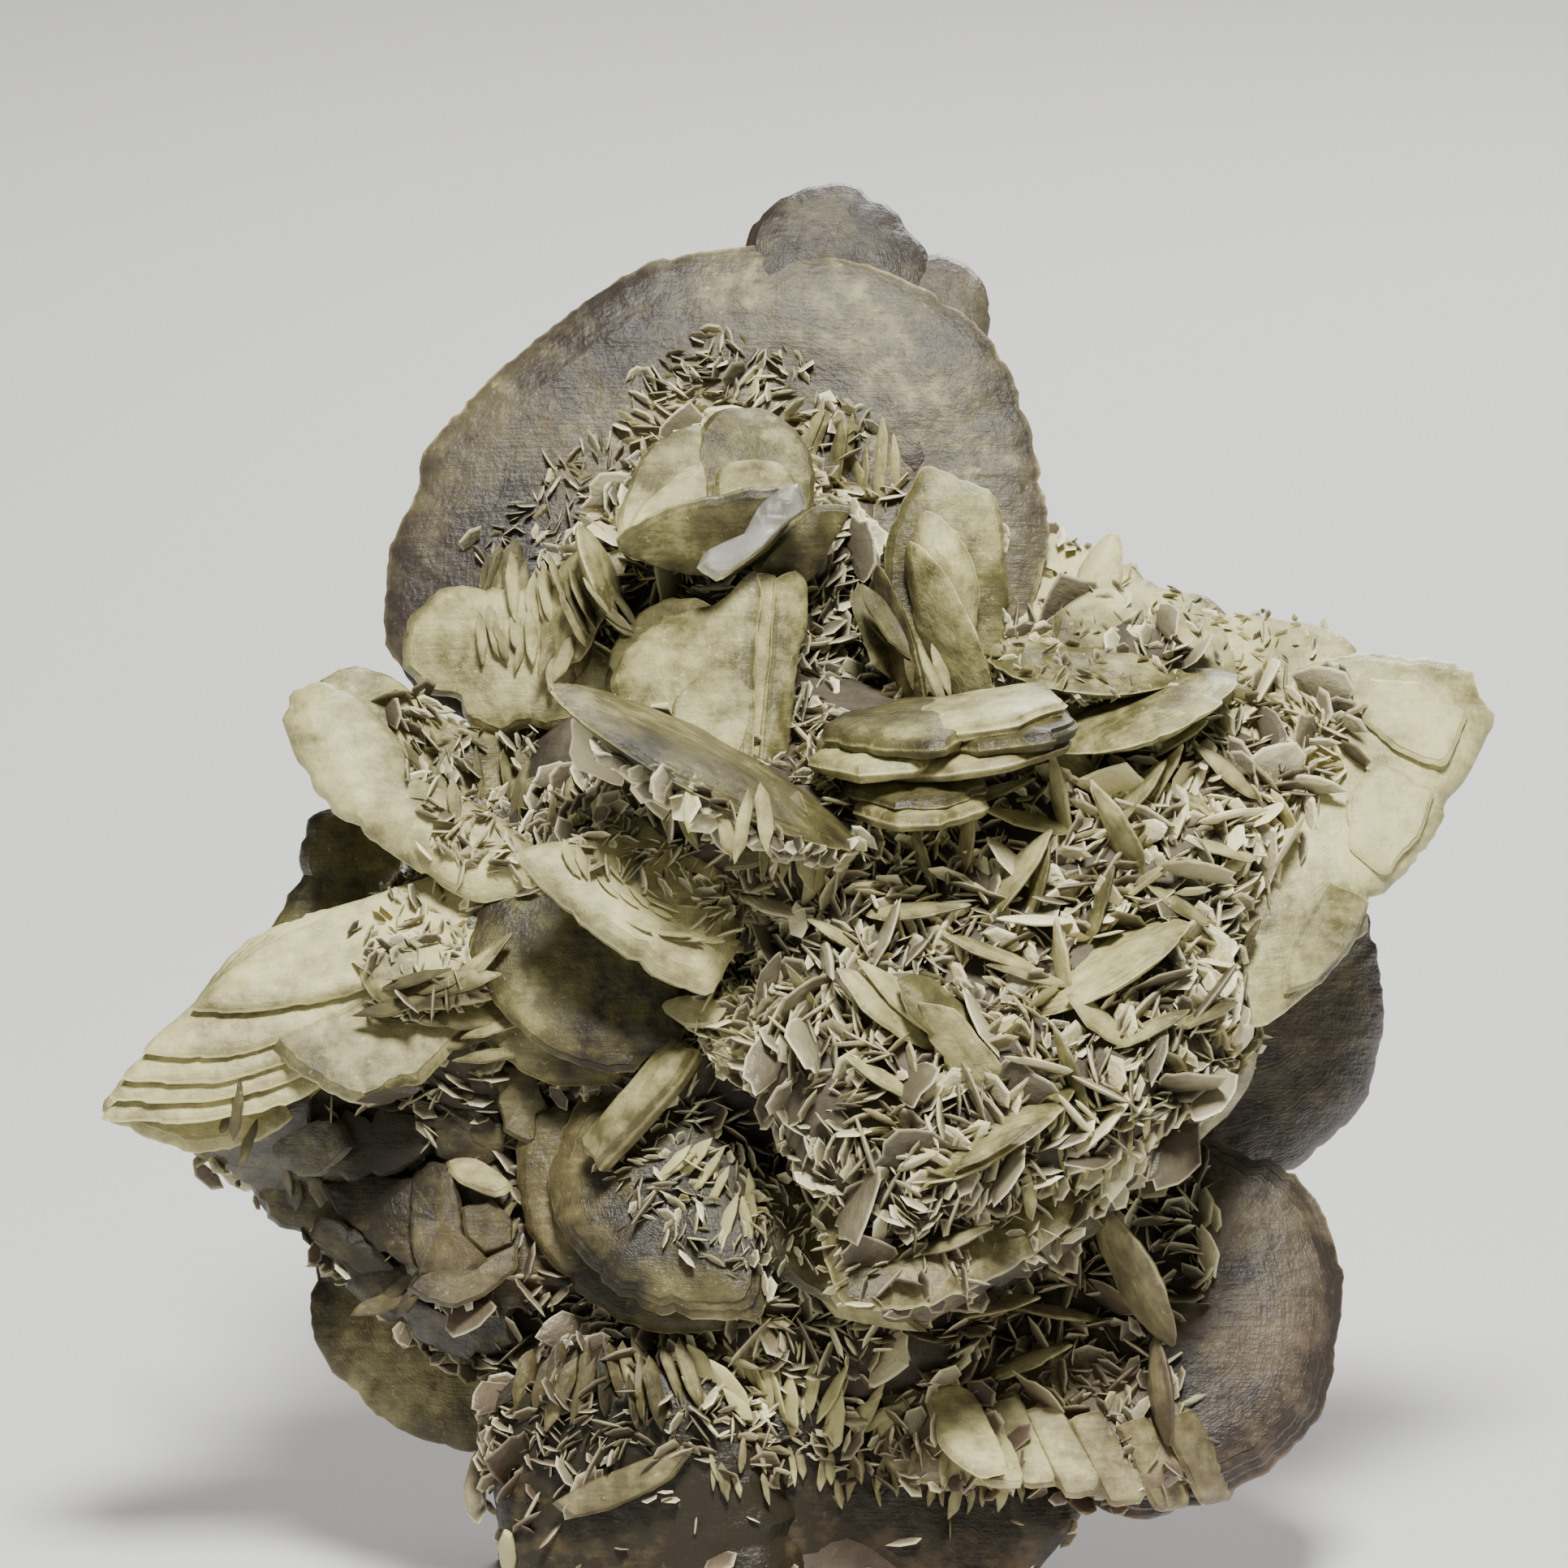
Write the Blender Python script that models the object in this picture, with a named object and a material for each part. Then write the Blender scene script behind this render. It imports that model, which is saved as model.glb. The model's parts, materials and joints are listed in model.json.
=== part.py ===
"""A gypsum crystal rosette: lens-shaped blades grown together, crusted with small blades, cut flat below.

Every blade is laid out on the rosette's own face, in millimetres: x to the right, y away from the viewer
and z up the face, with z = 0 a little above the base. The whole face then leans back by LEAN on its base.
All the crystals are intergrown, so they are fused into one solid.
"""

import math
import random

import bmesh
import bpy
from mathutils import Matrix, Vector, noise
from mathutils.bvhtree import BVHTree

MM = 0.001
LEAN = math.radians(15)  # how far the face leans back from upright
BASE_DROP = 6.0  # height of the face's zero line over the base cut, straight above the origin
FACE_SHIFT = (1.9, -7.2)  # moves the face along x and y, so that the origin is the middle of the base cut
SHOULDER_REACH = 0.80  # where a blade's taper begins, as a share of its radius
SHOULDER_HEIGHT = 0.40  # as a share of its thickness
SMALL_LENS_CORNERS, LENS_CORNERS = 6, 14
GRAIN_CORNERS = 4
GRAIN_SPREAD = 0.35  # how much a small blade's length varies about its bed's size
GRAIN_WIDTH, GRAIN_THICKNESS = 0.50, 0.20  # as shares of its length
GRAIN_PROUD = 0.14  # how far its middle stands off the surface, as a share of its length
SEED = 11
CORE_LUMP = 5.0  # how far the core's surface wanders from a plain ellipsoid

GYPSUM_COLOUR = (0.62, 0.59, 0.49, 1.0)
GYPSUM_ROUGHNESS = 0.42


def crystal_mesh(name, ring, normal, thickness, shouldered=True):
    """A closed blade with the ring as its rim. Its back rises to a summit, its face may have a shoulder."""
    middle = sum(ring, Vector()) / len(ring)
    normal = normal.normalized()
    work = bmesh.new()
    rim = [work.verts.new(point * MM) for point in ring]
    for side in (1, -1):
        edge = rim
        if shouldered and side == 1:
            lift = normal * thickness * SHOULDER_HEIGHT
            edge = [work.verts.new((middle.lerp(point, SHOULDER_REACH) + lift) * MM) for point in ring]
            for i in range(len(ring)):
                j = (i + 1) % len(ring)
                work.faces.new((rim[i], rim[j], edge[j], edge[i]))
        summit = work.verts.new((middle + normal * side * thickness / 2) * MM)
        for i in range(len(ring)):
            work.faces.new((edge[i], edge[(i + 1) % len(ring)], summit))
    bmesh.ops.recalc_face_normals(work, faces=work.faces)
    mesh = bpy.data.meshes.new(name)
    work.to_mesh(mesh)
    work.free()
    return mesh


class Rosette:
    """Gathers the crystals that are fused, all parented to the empty that leans them back."""

    def __init__(self):
        for old in list(bpy.data.objects):
            bpy.data.objects.remove(old)
        self.parts = self.collection("gypsum_rosette")
        self.crystals = self.collection("crystals_to_fuse")
        self.cutters = self.collection("cutters")
        self.face = bpy.data.objects.new("leaning_face", None)
        place = Matrix.Translation(Vector((*FACE_SHIFT, BASE_DROP)) * MM) @ Matrix.Rotation(-LEAN, 4, "X")
        self.face.matrix_world = place
        self.parts.objects.link(self.face)

    def collection(self, name):
        made = bpy.data.collections.new(name)
        bpy.context.scene.collection.children.link(made)
        return made

    def add(self, mesh, collection=None):
        made = bpy.data.objects.new(mesh.name, mesh)
        (collection or self.crystals).objects.link(made)
        made.parent = self.face
        if collection is None:
            made.hide_render = True
            made.display_type = "WIRE"
        return made

    def plate(self, name, depth, slope, thickness, outline):
        """A broad blade: its outline on the face, its middle's depth, and how depth grows along x and z."""
        middle_x = sum(x for x, z in outline) / len(outline)
        middle_z = sum(z for x, z in outline) / len(outline)
        ring = []
        for x, z in outline:
            ring.append(Vector((x, depth + slope[0] * (x - middle_x) + slope[1] * (z - middle_z), z)))
        self.add(crystal_mesh(name, ring, Vector((slope[0], -1, slope[1])), thickness))

    def lens(self, name, centre, along, facing, size, corners=SMALL_LENS_CORNERS):
        """A long lens: size is its length, width and thickness. Its flat side looks along facing."""
        length, width, thickness = size
        along = Vector(along).normalized()
        across = Vector(facing).cross(along).normalized()
        ring = []
        for i in range(corners):
            turn = 2 * math.pi * i / corners
            bulge = math.copysign(abs(math.sin(turn)) ** 1.25, math.sin(turn))
            ring.append(Vector(centre) + along * math.cos(turn) * length / 2 + across * bulge * width / 2)
        shouldered = corners > SMALL_LENS_CORNERS
        self.add(crystal_mesh(name, ring, along.cross(across), thickness, shouldered))

    def lump(self, name, centre, radii, collection=None):
        """A rounded mass that the blades grow out of."""
        work = bmesh.new()
        bmesh.ops.create_icosphere(work, subdivisions=1, radius=1)
        for vertex in work.verts:
            point = Vector(c * r for c, r in zip(vertex.co, radii)) + Vector(centre)
            vertex.co = (point + vertex.co * CORE_LUMP * noise.noise(point * 0.06)) * MM
        mesh = bpy.data.meshes.new(name)
        work.to_mesh(mesh)
        work.free()
        return self.add(mesh, collection)


def crown(rosette):
    """The big upright disc at the top and the two behind it."""
    rosette.plate("crown", 14, (-0.06, 0.20), 6.0, [
        (-38, 102.8), (-45, 107.6), (-50.2, 113.6), (-49.4, 119), (-48.8, 126), (-45.2, 133.5),
        (-44.8, 138), (-36.6, 146.9), (-26.6, 155), (-16.6, 161.2), (-3, 163.2), (9.5, 160.9),
        (18.6, 157.2), (25.2, 152.2), (28.8, 145.7), (31.3, 137), (32.6, 126), (28, 112), (13, 103),
        (-7, 99), (-28, 100)])
    rosette.plate("crown_rear", 20, (0.10, 0.45), 5.0, [
        (-5, 163.4), (-3.6, 166.6), (1, 170.2), (7.9, 171.3), (14, 167.8), (18.4, 162.6), (18, 146),
        (8, 136), (-6, 142)])
    rosette.plate("crown_rear_lobe", 19, (0.15, 0.45), 4.5, [
        (15, 161), (19, 162.6), (22.4, 161.5), (25, 158.2), (25.5, 153), (24, 142), (16, 134), (9, 142),
        (10, 155)])


def upper_cluster(rosette):
    """The nest of blades in front of the crown."""
    rosette.plate("nest_bright", -9, (0.15, 0.45), 3.0, [
        (-21.5, 127), (-22.8, 130.5), (-19, 134.5), (-13.5, 139), (-10, 138.8), (-9.4, 135), (-10.6, 131),
        (-13, 124), (-18, 123)])
    rosette.plate("nest_dark", -4, (0.2, 0.4), 4.0, [
        (-11, 139), (-6.5, 142.6), (-1, 142.9), (2.5, 140), (4.8, 134), (1, 124), (-9, 124), (-13, 133)])
    rosette.lens("nest_ledge", (-10.5, -12, 127.2), (0.93, 0.1, 0.33), (-0.15, -0.6, 0.75), (21, 14, 4.5))
    rosette.lens("nest_clear", (-3.8, -16, 127.5), (0.74, -0.1, 0.66), (-0.5, -0.75, 0.45), (18.5, 7.5, 4.0))
    rosette.lens("nest_shadow", (2, -10, 125), (0.8, 0.1, 0.6), (-0.4, -0.5, 0.7), (15, 14, 3))
    rosette.lens("nest_left_fin", (-22.5, -5, 122), (0.35, -0.2, -0.92), (0.8, -0.2, 0.2), (15, 13, 3))
    rosette.lens("nest_left_wing", (-26, 0, 118), (0.4, -0.2, 0.9), (-0.7, -0.55, 0.3), (18, 14, 3.5))
    rosette.plate("fan_left", -15, (-0.4, 0.30), 4.0, [
        (-21.4, 108.5), (-21.3, 111.5), (-19.5, 114.4), (-15.5, 116.6), (-9, 119.5), (-4.2, 122.6),
        (-2.2, 121), (-2.6, 108), (-4, 96), (-15, 96)])
    rosette.plate("fan_middle", -15, (0.8, 0.2), 3.0, [
        (-4.6, 121.8), (-1.2, 122.2), (-0.8, 113), (-1.8, 98), (-7, 98), (-5.6, 110)])
    rosette.plate("fan_right", -14, (1.0, 0.2), 3.0, [
        (-1.5, 121.4), (1.2, 123), (3, 121.6), (2.6, 113), (0.6, 98), (-4, 98), (-3, 110)])
    rosette.plate("crown_hook", 5, (-0.2, 0.1), 3.5, [
        (-47.2, 111), (-46.5, 117), (-42, 121), (-34, 121), (-20, 122), (-20, 106), (-34, 102),
        (-41, 105.2)])


def right_tower(rosette):
    """The standing blades right of the nest."""
    rosette.plate("tower", -1, (0.15, 0.1), 4.0, [
        (16.5, 136), (20.5, 134.8), (25.4, 133.2), (27.5, 127.6), (27.6, 118), (24, 98), (14, 98),
        (12, 116), (12.4, 127), (14.8, 132.6)])
    rosette.lens("tower_arch", (19.6, -5, 121.5), (0.25, 0.05, -0.97), (-0.35, -0.9, 0.25), (18, 9, 6))
    rosette.lens("tower_spear", (20.4, -6, 114), (0.36, 0.1, -0.92), (-0.75, -0.5, 0.1), (27, 12, 3.6))
    rosette.lens("tower_thorn", (14.2, -8, 113), (0.24, 0.1, -0.95), (-0.9, -0.3, 0), (22, 12, 3))


def right_ridge(rosette):
    """The overlapping blades that run down from the tower to the right wing."""
    rosette.lump("ridge_mass", (42, 1, 104), (20, 11, 12))
    rosette.plate("ridge_back", 11, (0.1, 0.5), 4.5, [
        (30, 128), (36.8, 126.4), (43, 123.8), (47, 120.6), (52.8, 119.8), (55.5, 116), (54, 106),
        (42, 100), (22, 100), (24, 118)])
    rosette.plate("ridge_end", 5, (0.15, 0.45), 4.5, [
        (50, 116), (56, 117.8), (63, 117.2), (69.9, 114.4), (70.8, 112), (69.5, 105), (60, 97), (48, 100),
        (46, 110)])
    rosette.plate("ridge_front", -5, (0.25, 0.6), 4.0, [
        (33, 117), (38, 120.6), (43, 120.2), (46.5, 115.5), (47, 108), (40, 104), (32, 106)])
    rosette.plate("ridge_step", -3, (0.35, 0.6), 4.0, [
        (45, 117), (50, 118.8), (54.5, 115), (56, 108), (50, 102), (43, 105)])
    rosette.lens("ridge_spike", (37.6, 3, 118.5), (0.34, 0, 0.92), (-0.5, -0.85, 0), (20, 7, 5))
    rosette.lens("ridge_ledge", (37.5, -7, 111.5), (1, 0.05, -0.06), (-0.05, -0.35, 0.9), (26, 22, 4.2),
                 LENS_CORNERS)
    rosette.lens("ridge_rail", (43.5, -12, 105.5), (0.93, 0.1, 0.34), (-0.25, -0.35, 0.9), (26, 22, 4.0),
                 LENS_CORNERS)


def right_wing(rosette):
    """The great pointed blade on the right, and the crusted bed that leans on it."""
    rosette.plate("wing_right", -4, (0.20, 0.38), 5.5, [
        (66, 112), (71, 112.8), (78, 112.4), (84.9, 110.8), (87.5, 104.6), (83.6, 96.5), (79.8, 89.8),
        (74.8, 83.8), (71.4, 81.2), (71.6, 78.6), (65.6, 72.0), (58, 66.4), (45, 66), (34, 78), (36, 95),
        (50, 107)])
    rosette.plate("bed_right", -16, (0.12, 0.60), 17.0, [
        (4, 90), (14, 88), (25, 94), (37, 101), (52, 105), (64, 102), (68, 97), (66, 90), (60, 81),
        (57, 72), (56, 62), (46, 54), (30, 47), (14, 42), (2, 50), (-4, 64), (-2, 80)])
    rosette.plate("rim_right", -19, (0.16, 0.85), 4.5, [
        (50, 74), (58.6, 67), (58, 62.6), (55.8, 59.2), (50, 54.1), (42, 48.2), (29, 38.5), (17, 33.2),
        (7, 33.6), (4, 46), (16, 62), (36, 72)])
    rosette.plate("rim_under", -12, (0.2, 0.5), 5.0, [
        (54, 58), (49.5, 51.5), (42, 45.6), (30, 37.6), (16, 32), (8, 36), (18, 52), (36, 64)])
    rosette.lens("ledge_upper", (21.5, -26, 101.6), (0.99, 0.04, 0.08), (0, -0.16, 0.98), (36, 33, 6.5),
                 LENS_CORNERS)
    rosette.lens("ledge_upper_left", (10, -24, 99.4), (0.94, 0, 0.3), (-0.1, -0.2, 0.97), (20, 26, 5.5))
    rosette.lens("ledge_lower", (17.4, -25, 94.4), (0.99, 0, 0.07), (0, -0.2, 0.97), (20, 30, 5.0))
    rosette.lens("spar", (22, -32, 53.6), (0.90, -0.02, 0.43), (-0.3, -0.30, 0.9), (31, 20, 3.6))
    rosette.lens("spar_upper", (38.4, -26, 74), (0.88, 0, 0.46), (-0.3, -0.30, 0.9), (25, 16, 3.4))


def left_side(rosette):
    """The bright blade, the stepped wing and the plates between them."""
    rosette.plate("blade_left", -8, (-0.12, 0.40), 5.0, [
        (-61.6, 104.6), (-60.2, 108), (-56.3, 109.1), (-52, 106.8), (-47.5, 102.3), (-43.5, 96.5),
        (-34, 92), (-26, 84), (-38, 82), (-50.5, 89.6), (-56.2, 94), (-59.9, 100)])
    rosette.plate("blade_left_rear", 3, (0.15, 0.2), 4.0, [
        (-57.9, 108.6), (-54.5, 110.9), (-51.3, 111.4), (-46.5, 108.4), (-42, 105), (-28, 99), (-26, 88),
        (-47, 92), (-56, 99)])
    step_corners = [(-72.8, 69.0), (-78.6, 63.6), (-81.2, 60.4), (-82.6, 58.0), (-83.4, 55.4)]
    for step, (reach, foot) in enumerate(step_corners):
        rosette.plate(f"wing_left_step_{step}", -12 + 1.7 * step, (-0.12, 0.70), 3.0, [
            (reach, foot), (reach + 4.6, foot + 4.4), (-62.5 - step, 77.2), (-50, 82.8), (-40, 85.8),
            (-32, 88.8), (-27, 84), (-40, 76), (-54 - step, 70.5 - 3 * step), (-66 - step * 1.5, foot - 0.4)])
    rosette.plate("wing_left_tip", -4, (-0.1, 0.55), 4.0, [
        (-83.6, 57.4), (-82.6, 55), (-72.4, 51.4), (-62, 54), (-52, 66), (-66, 71), (-78, 64)])
    rosette.plate("step_knuckle", -15, (0.05, 0.55), 4.0, [
        (-63.4, 64.6), (-61.4, 68.4), (-54, 70.4), (-44, 74), (-38, 68), (-44, 60), (-51.5, 57.2),
        (-58, 60.0)])
    rosette.plate("step_knuckle_upper", -15, (0.1, 0.6), 4.0, [
        (-52, 74), (-46, 77.5), (-39, 80), (-30, 80), (-32, 71.5), (-44, 68.6), (-50, 70)])
    rosette.plate("far_left", 10, (0.1, 0.1), 5.0, [
        (-59, 92.2), (-55.5, 93.8), (-46, 92), (-30, 88), (-30, 70), (-52, 70), (-64.2, 76), (-61.8, 82)])


def front_blades(rosette):
    """The blades that stand out of the middle towards the viewer."""
    rosette.lens("tongue", (-9.6, -31, 98.6), (0.89, 0.05, -0.46), (0.42, -0.20, 0.88), (43.5, 34, 4.6),
                 LENS_CORNERS)
    rosette.lens("tongue_fin", (-3, -32, 92), (0.75, -0.1, 0.65), (-0.5, -0.4, 0.3), (15, 14, 3))
    rosette.plate("lip", -30, (0.36, 0.60), 4.5, [
        (-32.8, 88.2), (-27, 90), (-18, 93), (-8, 90), (-5.4, 78.6), (-6.2, 75.2), (-8.8, 71.0),
        (-13, 72.0), (-18.5, 75.0), (-24, 79), (-30, 84.6)])
    rosette.plate("apron", -19, (-0.15, 0.30), 4.0, [
        (-39.2, 75.2), (-36.6, 71.3), (-33.5, 67.4), (-29.4, 64), (-24.4, 61.9), (-17.5, 61), (-12, 66),
        (-12, 80), (-22, 88), (-35.5, 84)])
    rosette.plate("apron_under", -14, (-0.1, 0.2), 4.0, [
        (-40, 70), (-37, 65), (-30, 60), (-24, 59.4), (-18, 61), (-16, 74), (-32, 80)])
    rosette.plate("chip_cream", -25, (0.2, 0.5), 6.0, [
        (-9, 70), (0, 74), (6, 70), (7, 62), (1, 60), (-8, 62.5)])


def lower_middle(rosette):
    """The arc-edged disc low in the middle, and what surrounds it."""
    rosette.plate("keel", -20, (-0.16, 0.32), 5.5, [
        (-29.0, 50), (-28.2, 43.4), (-24.9, 38.7), (-20.4, 34.1), (-15, 31.5), (-8.6, 31.1), (-3, 31.4),
        (-1.4, 35), (-1, 44), (-6, 54), (-16, 60), (-25, 58)])
    rosette.plate("keel_under", -14, (-0.1, 0.2), 4.0, [
        (-33, 52), (-31.7, 42), (-26, 34.7), (-20, 30.7), (-14, 29.2), (-6, 30.6), (-6, 46), (-18, 56),
        (-30, 58)])
    rosette.lens("keel_prism", (-18.6, -21, 56.4), (0.65, -0.05, 0.76), (-0.5, -0.7, 0.5), (20, 8, 8))
    rosette.plate("shard_right", -20, (0.4, 0.4), 3.0, [
        (-4, 50), (4, 46), (10, 39), (17.4, 31), (9, 31), (-2, 38)])
    rosette.plate("shelf_left", -8, (-0.12, 0.22), 4.5, [
        (-46.2, 48), (-44, 50.6), (-37, 52), (-24, 50), (-24, 34), (-34, 32), (-40, 32.2), (-46, 33.8),
        (-46.6, 40)])
    rosette.plate("shelf_dark", -3, (0, -0.1), 5.0, [
        (-64.6, 60), (-63, 54), (-59.6, 48.8), (-52, 47.2), (-38, 48), (-34, 60), (-44, 68), (-60, 65)])
    rosette.plate("hem_left", 4, (-0.1, -0.1), 7.0, [
        (-73.2, 51.6), (-69, 49.2), (-66.2, 47.4), (-64, 43.2), (-60.6, 41), (-52, 38), (-38, 40),
        (-34, 54), (-48, 64), (-66, 60)])
    rosette.plate("hem_lower", -1, (-0.1, 0.05), 8.0, [
        (-58.2, 42), (-53.8, 34.5), (-46, 28), (-36, 24), (-20, 28), (-20, 46), (-36, 54), (-52, 52)])
    rosette.plate("petal_left_low", 10, (-0.1, 0.12), 5.0, [
        (-56.9, 40), (-58.7, 33), (-57.8, 27.2), (-54.2, 21.6), (-48.5, 17.4), (-41.2, 14.4), (-33, 14),
        (-18, 18), (-16, 40), (-34, 50), (-49, 47)])


def lower_right(rosette):
    """The two discs low on the right, and the thin blades across them."""
    rosette.plate("petal_right_dark", 14, (0.22, -0.1), 5.5, [
        (56, 86), (68, 84), (72.3, 81), (73.4, 75), (74.3, 68), (73.8, 61.5), (71.3, 56), (66.3, 51.4),
        (62.6, 48.6), (44, 44), (28, 56), (32, 78)])
    rosette.plate("petal_right_low", -1, (0.10, 0.28), 6.0, [
        (50, 53.4), (58, 51.4), (63.2, 48.2), (66.6, 43.7), (68.9, 36), (67.8, 25), (65.8, 18.4),
        (59.4, 12.0), (51, 8.0), (43, 6.2), (35.4, 9.2), (27, 11.6), (16, 14), (12, 32), (24, 50)])
    rosette.plate("petal_right_low_front", -8, (0.1, 0.45), 5.0, [
        (52, 14), (44, 8.8), (36, 9.2), (28, 12.0), (20, 15), (20, 27), (34, 30), (48, 24)])
    rosette.lens("blade_diagonal", (43, -16, 36.4), (0.46, 0.12, -0.88), (-0.80, -0.40, -0.2), (21, 22, 3.6))
    rosette.lens("blade_diagonal_low", (46.3, -12, 22), (0.1, 0.15, -0.99), (-0.9, -0.3, 0), (15, 16, 3.0))
    rosette.plate("elbow", -14, (-0.2, 0.45), 6.0, [
        (8, 22), (14, 24), (22, 22), (27, 16), (28, 11), (21, 10.8), (13, 12)])


def base(rosette):
    """The stout blades that the cluster stands on. They run on below the base cut, which trims them flat."""
    rosette.plate("foot_left", -8, (-0.25, -0.10), 18.0, [
        (-35.6, 21), (-35.2, 8), (-33.6, 0), (-31, -8), (-29, -34), (0, -36), (4, 0), (-4, 24), (-22, 30)])
    rosette.plate("foot_right", -3, (0.22, -0.10), 18.0, [
        (-8, 22), (-8, -36), (14, -38), (24, -14), (30.4, -1), (37, 8.5), (30, 18), (10, 26)])
    rosette.plate("foot_rear", 24, (0.05, -0.15), 26.0, [
        (-34, 34), (-36, 6), (-30, -26), (26, -26), (32, 6), (30, 32), (0, 44)])
    rosette.lump("foot_mass", (-1, 8, 4), (31, 26, 34))


def back_petals(rosette):
    """The blades that radiate over the back, turned round the core by a steady angle."""
    petals = 9
    for number in range(petals):
        share = (number + 0.5) / petals
        around = math.radians(16 + 148 * share)
        rise = math.radians((-26, 28, 2)[number % 3])
        outward = Vector((math.cos(around) * math.cos(rise), math.sin(around) * math.cos(rise),
                          math.sin(rise)))
        facing = outward.cross(Vector((0, 0, 1))).normalized()
        facing.rotate(Matrix.Rotation(math.radians(35 + 55 * number), 3, outward))
        centre = Vector((0, 8, 74)) + outward * (29 + 3 * (number % 2))
        size = (56, 46 - 3 * (number % 3), 5.5)
        rosette.lens(f"back_petal_{number}", centre, outward, facing, size, LENS_CORNERS)


class Druze:
    """Seats small blades on the big ones, where a line of sight meets them."""

    def __init__(self, rosette):
        self.rosette = rosette
        self.chance = random.Random(SEED)
        bpy.context.view_layer.update()
        shell = bmesh.new()
        for made in [rosette.core, *rosette.crystals.objects]:
            shell.from_mesh(made.data)
        self.surface = BVHTree.FromBMesh(shell)
        shell.free()

    def seat(self, x, z, sight=1):
        """The point that a line along y meets at x and z, from the front or, with sight -1, from the back."""
        hit, normal, _, _ = self.surface.ray_cast(Vector((x, -150 * sight, z)) * MM, Vector((0, sight, 0)))
        return (None, None) if hit is None else (hit / MM, normal)

    def standing(self, name, x, z, turn, length, sink=0.0):
        """A blade seated at x and z whose length runs at this angle on the face."""
        hit, normal = self.seat(x, z)
        angle = math.radians(turn)
        along = Vector((math.cos(angle), -0.2, math.sin(angle)))
        facing = Vector((-math.sin(angle), -0.5, abs(math.cos(angle)) + 0.2))
        centre = hit + normal * (length * GRAIN_PROUD - sink)
        self.rosette.lens(name, centre, along, facing, (length, length * 0.55, length * 0.16))

    def scatter(self, name, x, z, half_width, half_height, count, size, sight=1):
        """Small blades scattered over an ellipse on the face, each leaning its own way."""
        for number in range(count):
            turn = self.chance.uniform(0, 2 * math.pi)
            spread = math.sqrt(self.chance.random())
            length = size * (1 + GRAIN_SPREAD * self.chance.uniform(-1, 1))
            wander = Vector(self.chance.gauss(0, 1) for _ in range(3))
            hit, normal = self.seat(x + math.cos(turn) * spread * half_width,
                                    z + math.sin(turn) * spread * half_height, sight)
            if hit is None:
                continue
            along = (wander.cross(normal).normalized() + normal * self.chance.uniform(0.1, 0.8)).normalized()
            facing = along.cross(normal + wander * 0.25)
            self.rosette.lens(f"{name}_{number}", hit + normal * length * GRAIN_PROUD, along, facing,
                              (length, length * GRAIN_WIDTH, length * GRAIN_THICKNESS), GRAIN_CORNERS)


def druze(rosette):
    """Crusts the beds between the big blades with small ones."""
    bed = Druze(rosette)
    for number, (x, z, turn, length) in enumerate([
            (15.5, 80, 5, 15), (28, 84, 48, 16), (33.5, 93, 100, 16), (41, 89, 118, 16), (46, 96, 60, 12),
            (26, 94, 20, 12), (33.5, 74, 95, 12), (25, 75, 160, 13), (48, 81, 150, 10), (12, 68, 140, 17),
            (21, 63, 128, 16), (7, 77, 150, 11), (54, 97, 140, 11), (53, 88, 165, 10), (44, 66, 25, 12),
            (35, 60, 110, 13), (26, 52, 30, 12), (50, 68, 20, 11), (24, 33, 10, 13), (33, 31, 172, 13),
            (20, 40, 20, 12), (30, 25, 20, 12)]):
        bed.standing(f"bed_blade_{number}", x, z, turn, length)
    bed.scatter("grain_nest", -8, 139, 18, 7, 11, 6.0)
    bed.scatter("grain_crown_foot", -31, 124, 8, 10, 6, 7.0)
    bed.scatter("grain_bowl", 7, 120, 7, 12, 6, 6.0)
    bed.scatter("grain_bed", 37, 84, 28, 16, 26, 7.0)
    bed.scatter("grain_bed_low", 22, 58, 24, 10, 9, 7.0)
    bed.scatter("grain_brow", -33, 96, 16, 8, 8, 6.5)
    bed.scatter("grain_left", -46, 58, 15, 12, 5, 7.0)
    bed.scatter("grain_keel", -6, 44, 18, 12, 6, 6.5)
    bed.scatter("grain_foot", -14, 20, 19, 9, 8, 7.0)
    bed.scatter("grain_petal", 38, 28, 17, 12, 6, 7.0)
    bed.scatter("grain_middle", 0, 78, 15, 10, 7, 6.5)
    bed.scatter("grain_crown_back", -8, 120, 28, 24, 6, 9.0, sight=-1)
    bed.scatter("grain_back", 0, 66, 40, 36, 9, 10.0, sight=-1)


def fuse(rosette):
    """Joins every crystal to the core in one solid, then cuts the base flat."""
    union = rosette.core.modifiers.new("fuse_crystals", "BOOLEAN")
    union.operation = "UNION"
    union.solver = "EXACT"
    union.operand_type = "COLLECTION"
    union.collection = rosette.crystals
    union.use_self = True
    block = bmesh.new()
    place = Matrix.Translation((0, 0, -0.05)) @ Matrix.Diagonal((0.3, 0.3, 0.1, 1))
    bmesh.ops.create_cube(block, size=1, matrix=place)
    mesh = bpy.data.meshes.new("ground")
    block.to_mesh(mesh)
    block.free()
    ground = bpy.data.objects.new("ground", mesh)
    ground.hide_render = True
    ground.display_type = "WIRE"
    rosette.cutters.objects.link(ground)
    cut = rosette.core.modifiers.new("base_cut", "BOOLEAN")
    cut.operation = "DIFFERENCE"
    cut.solver = "EXACT"
    cut.object = ground


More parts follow.
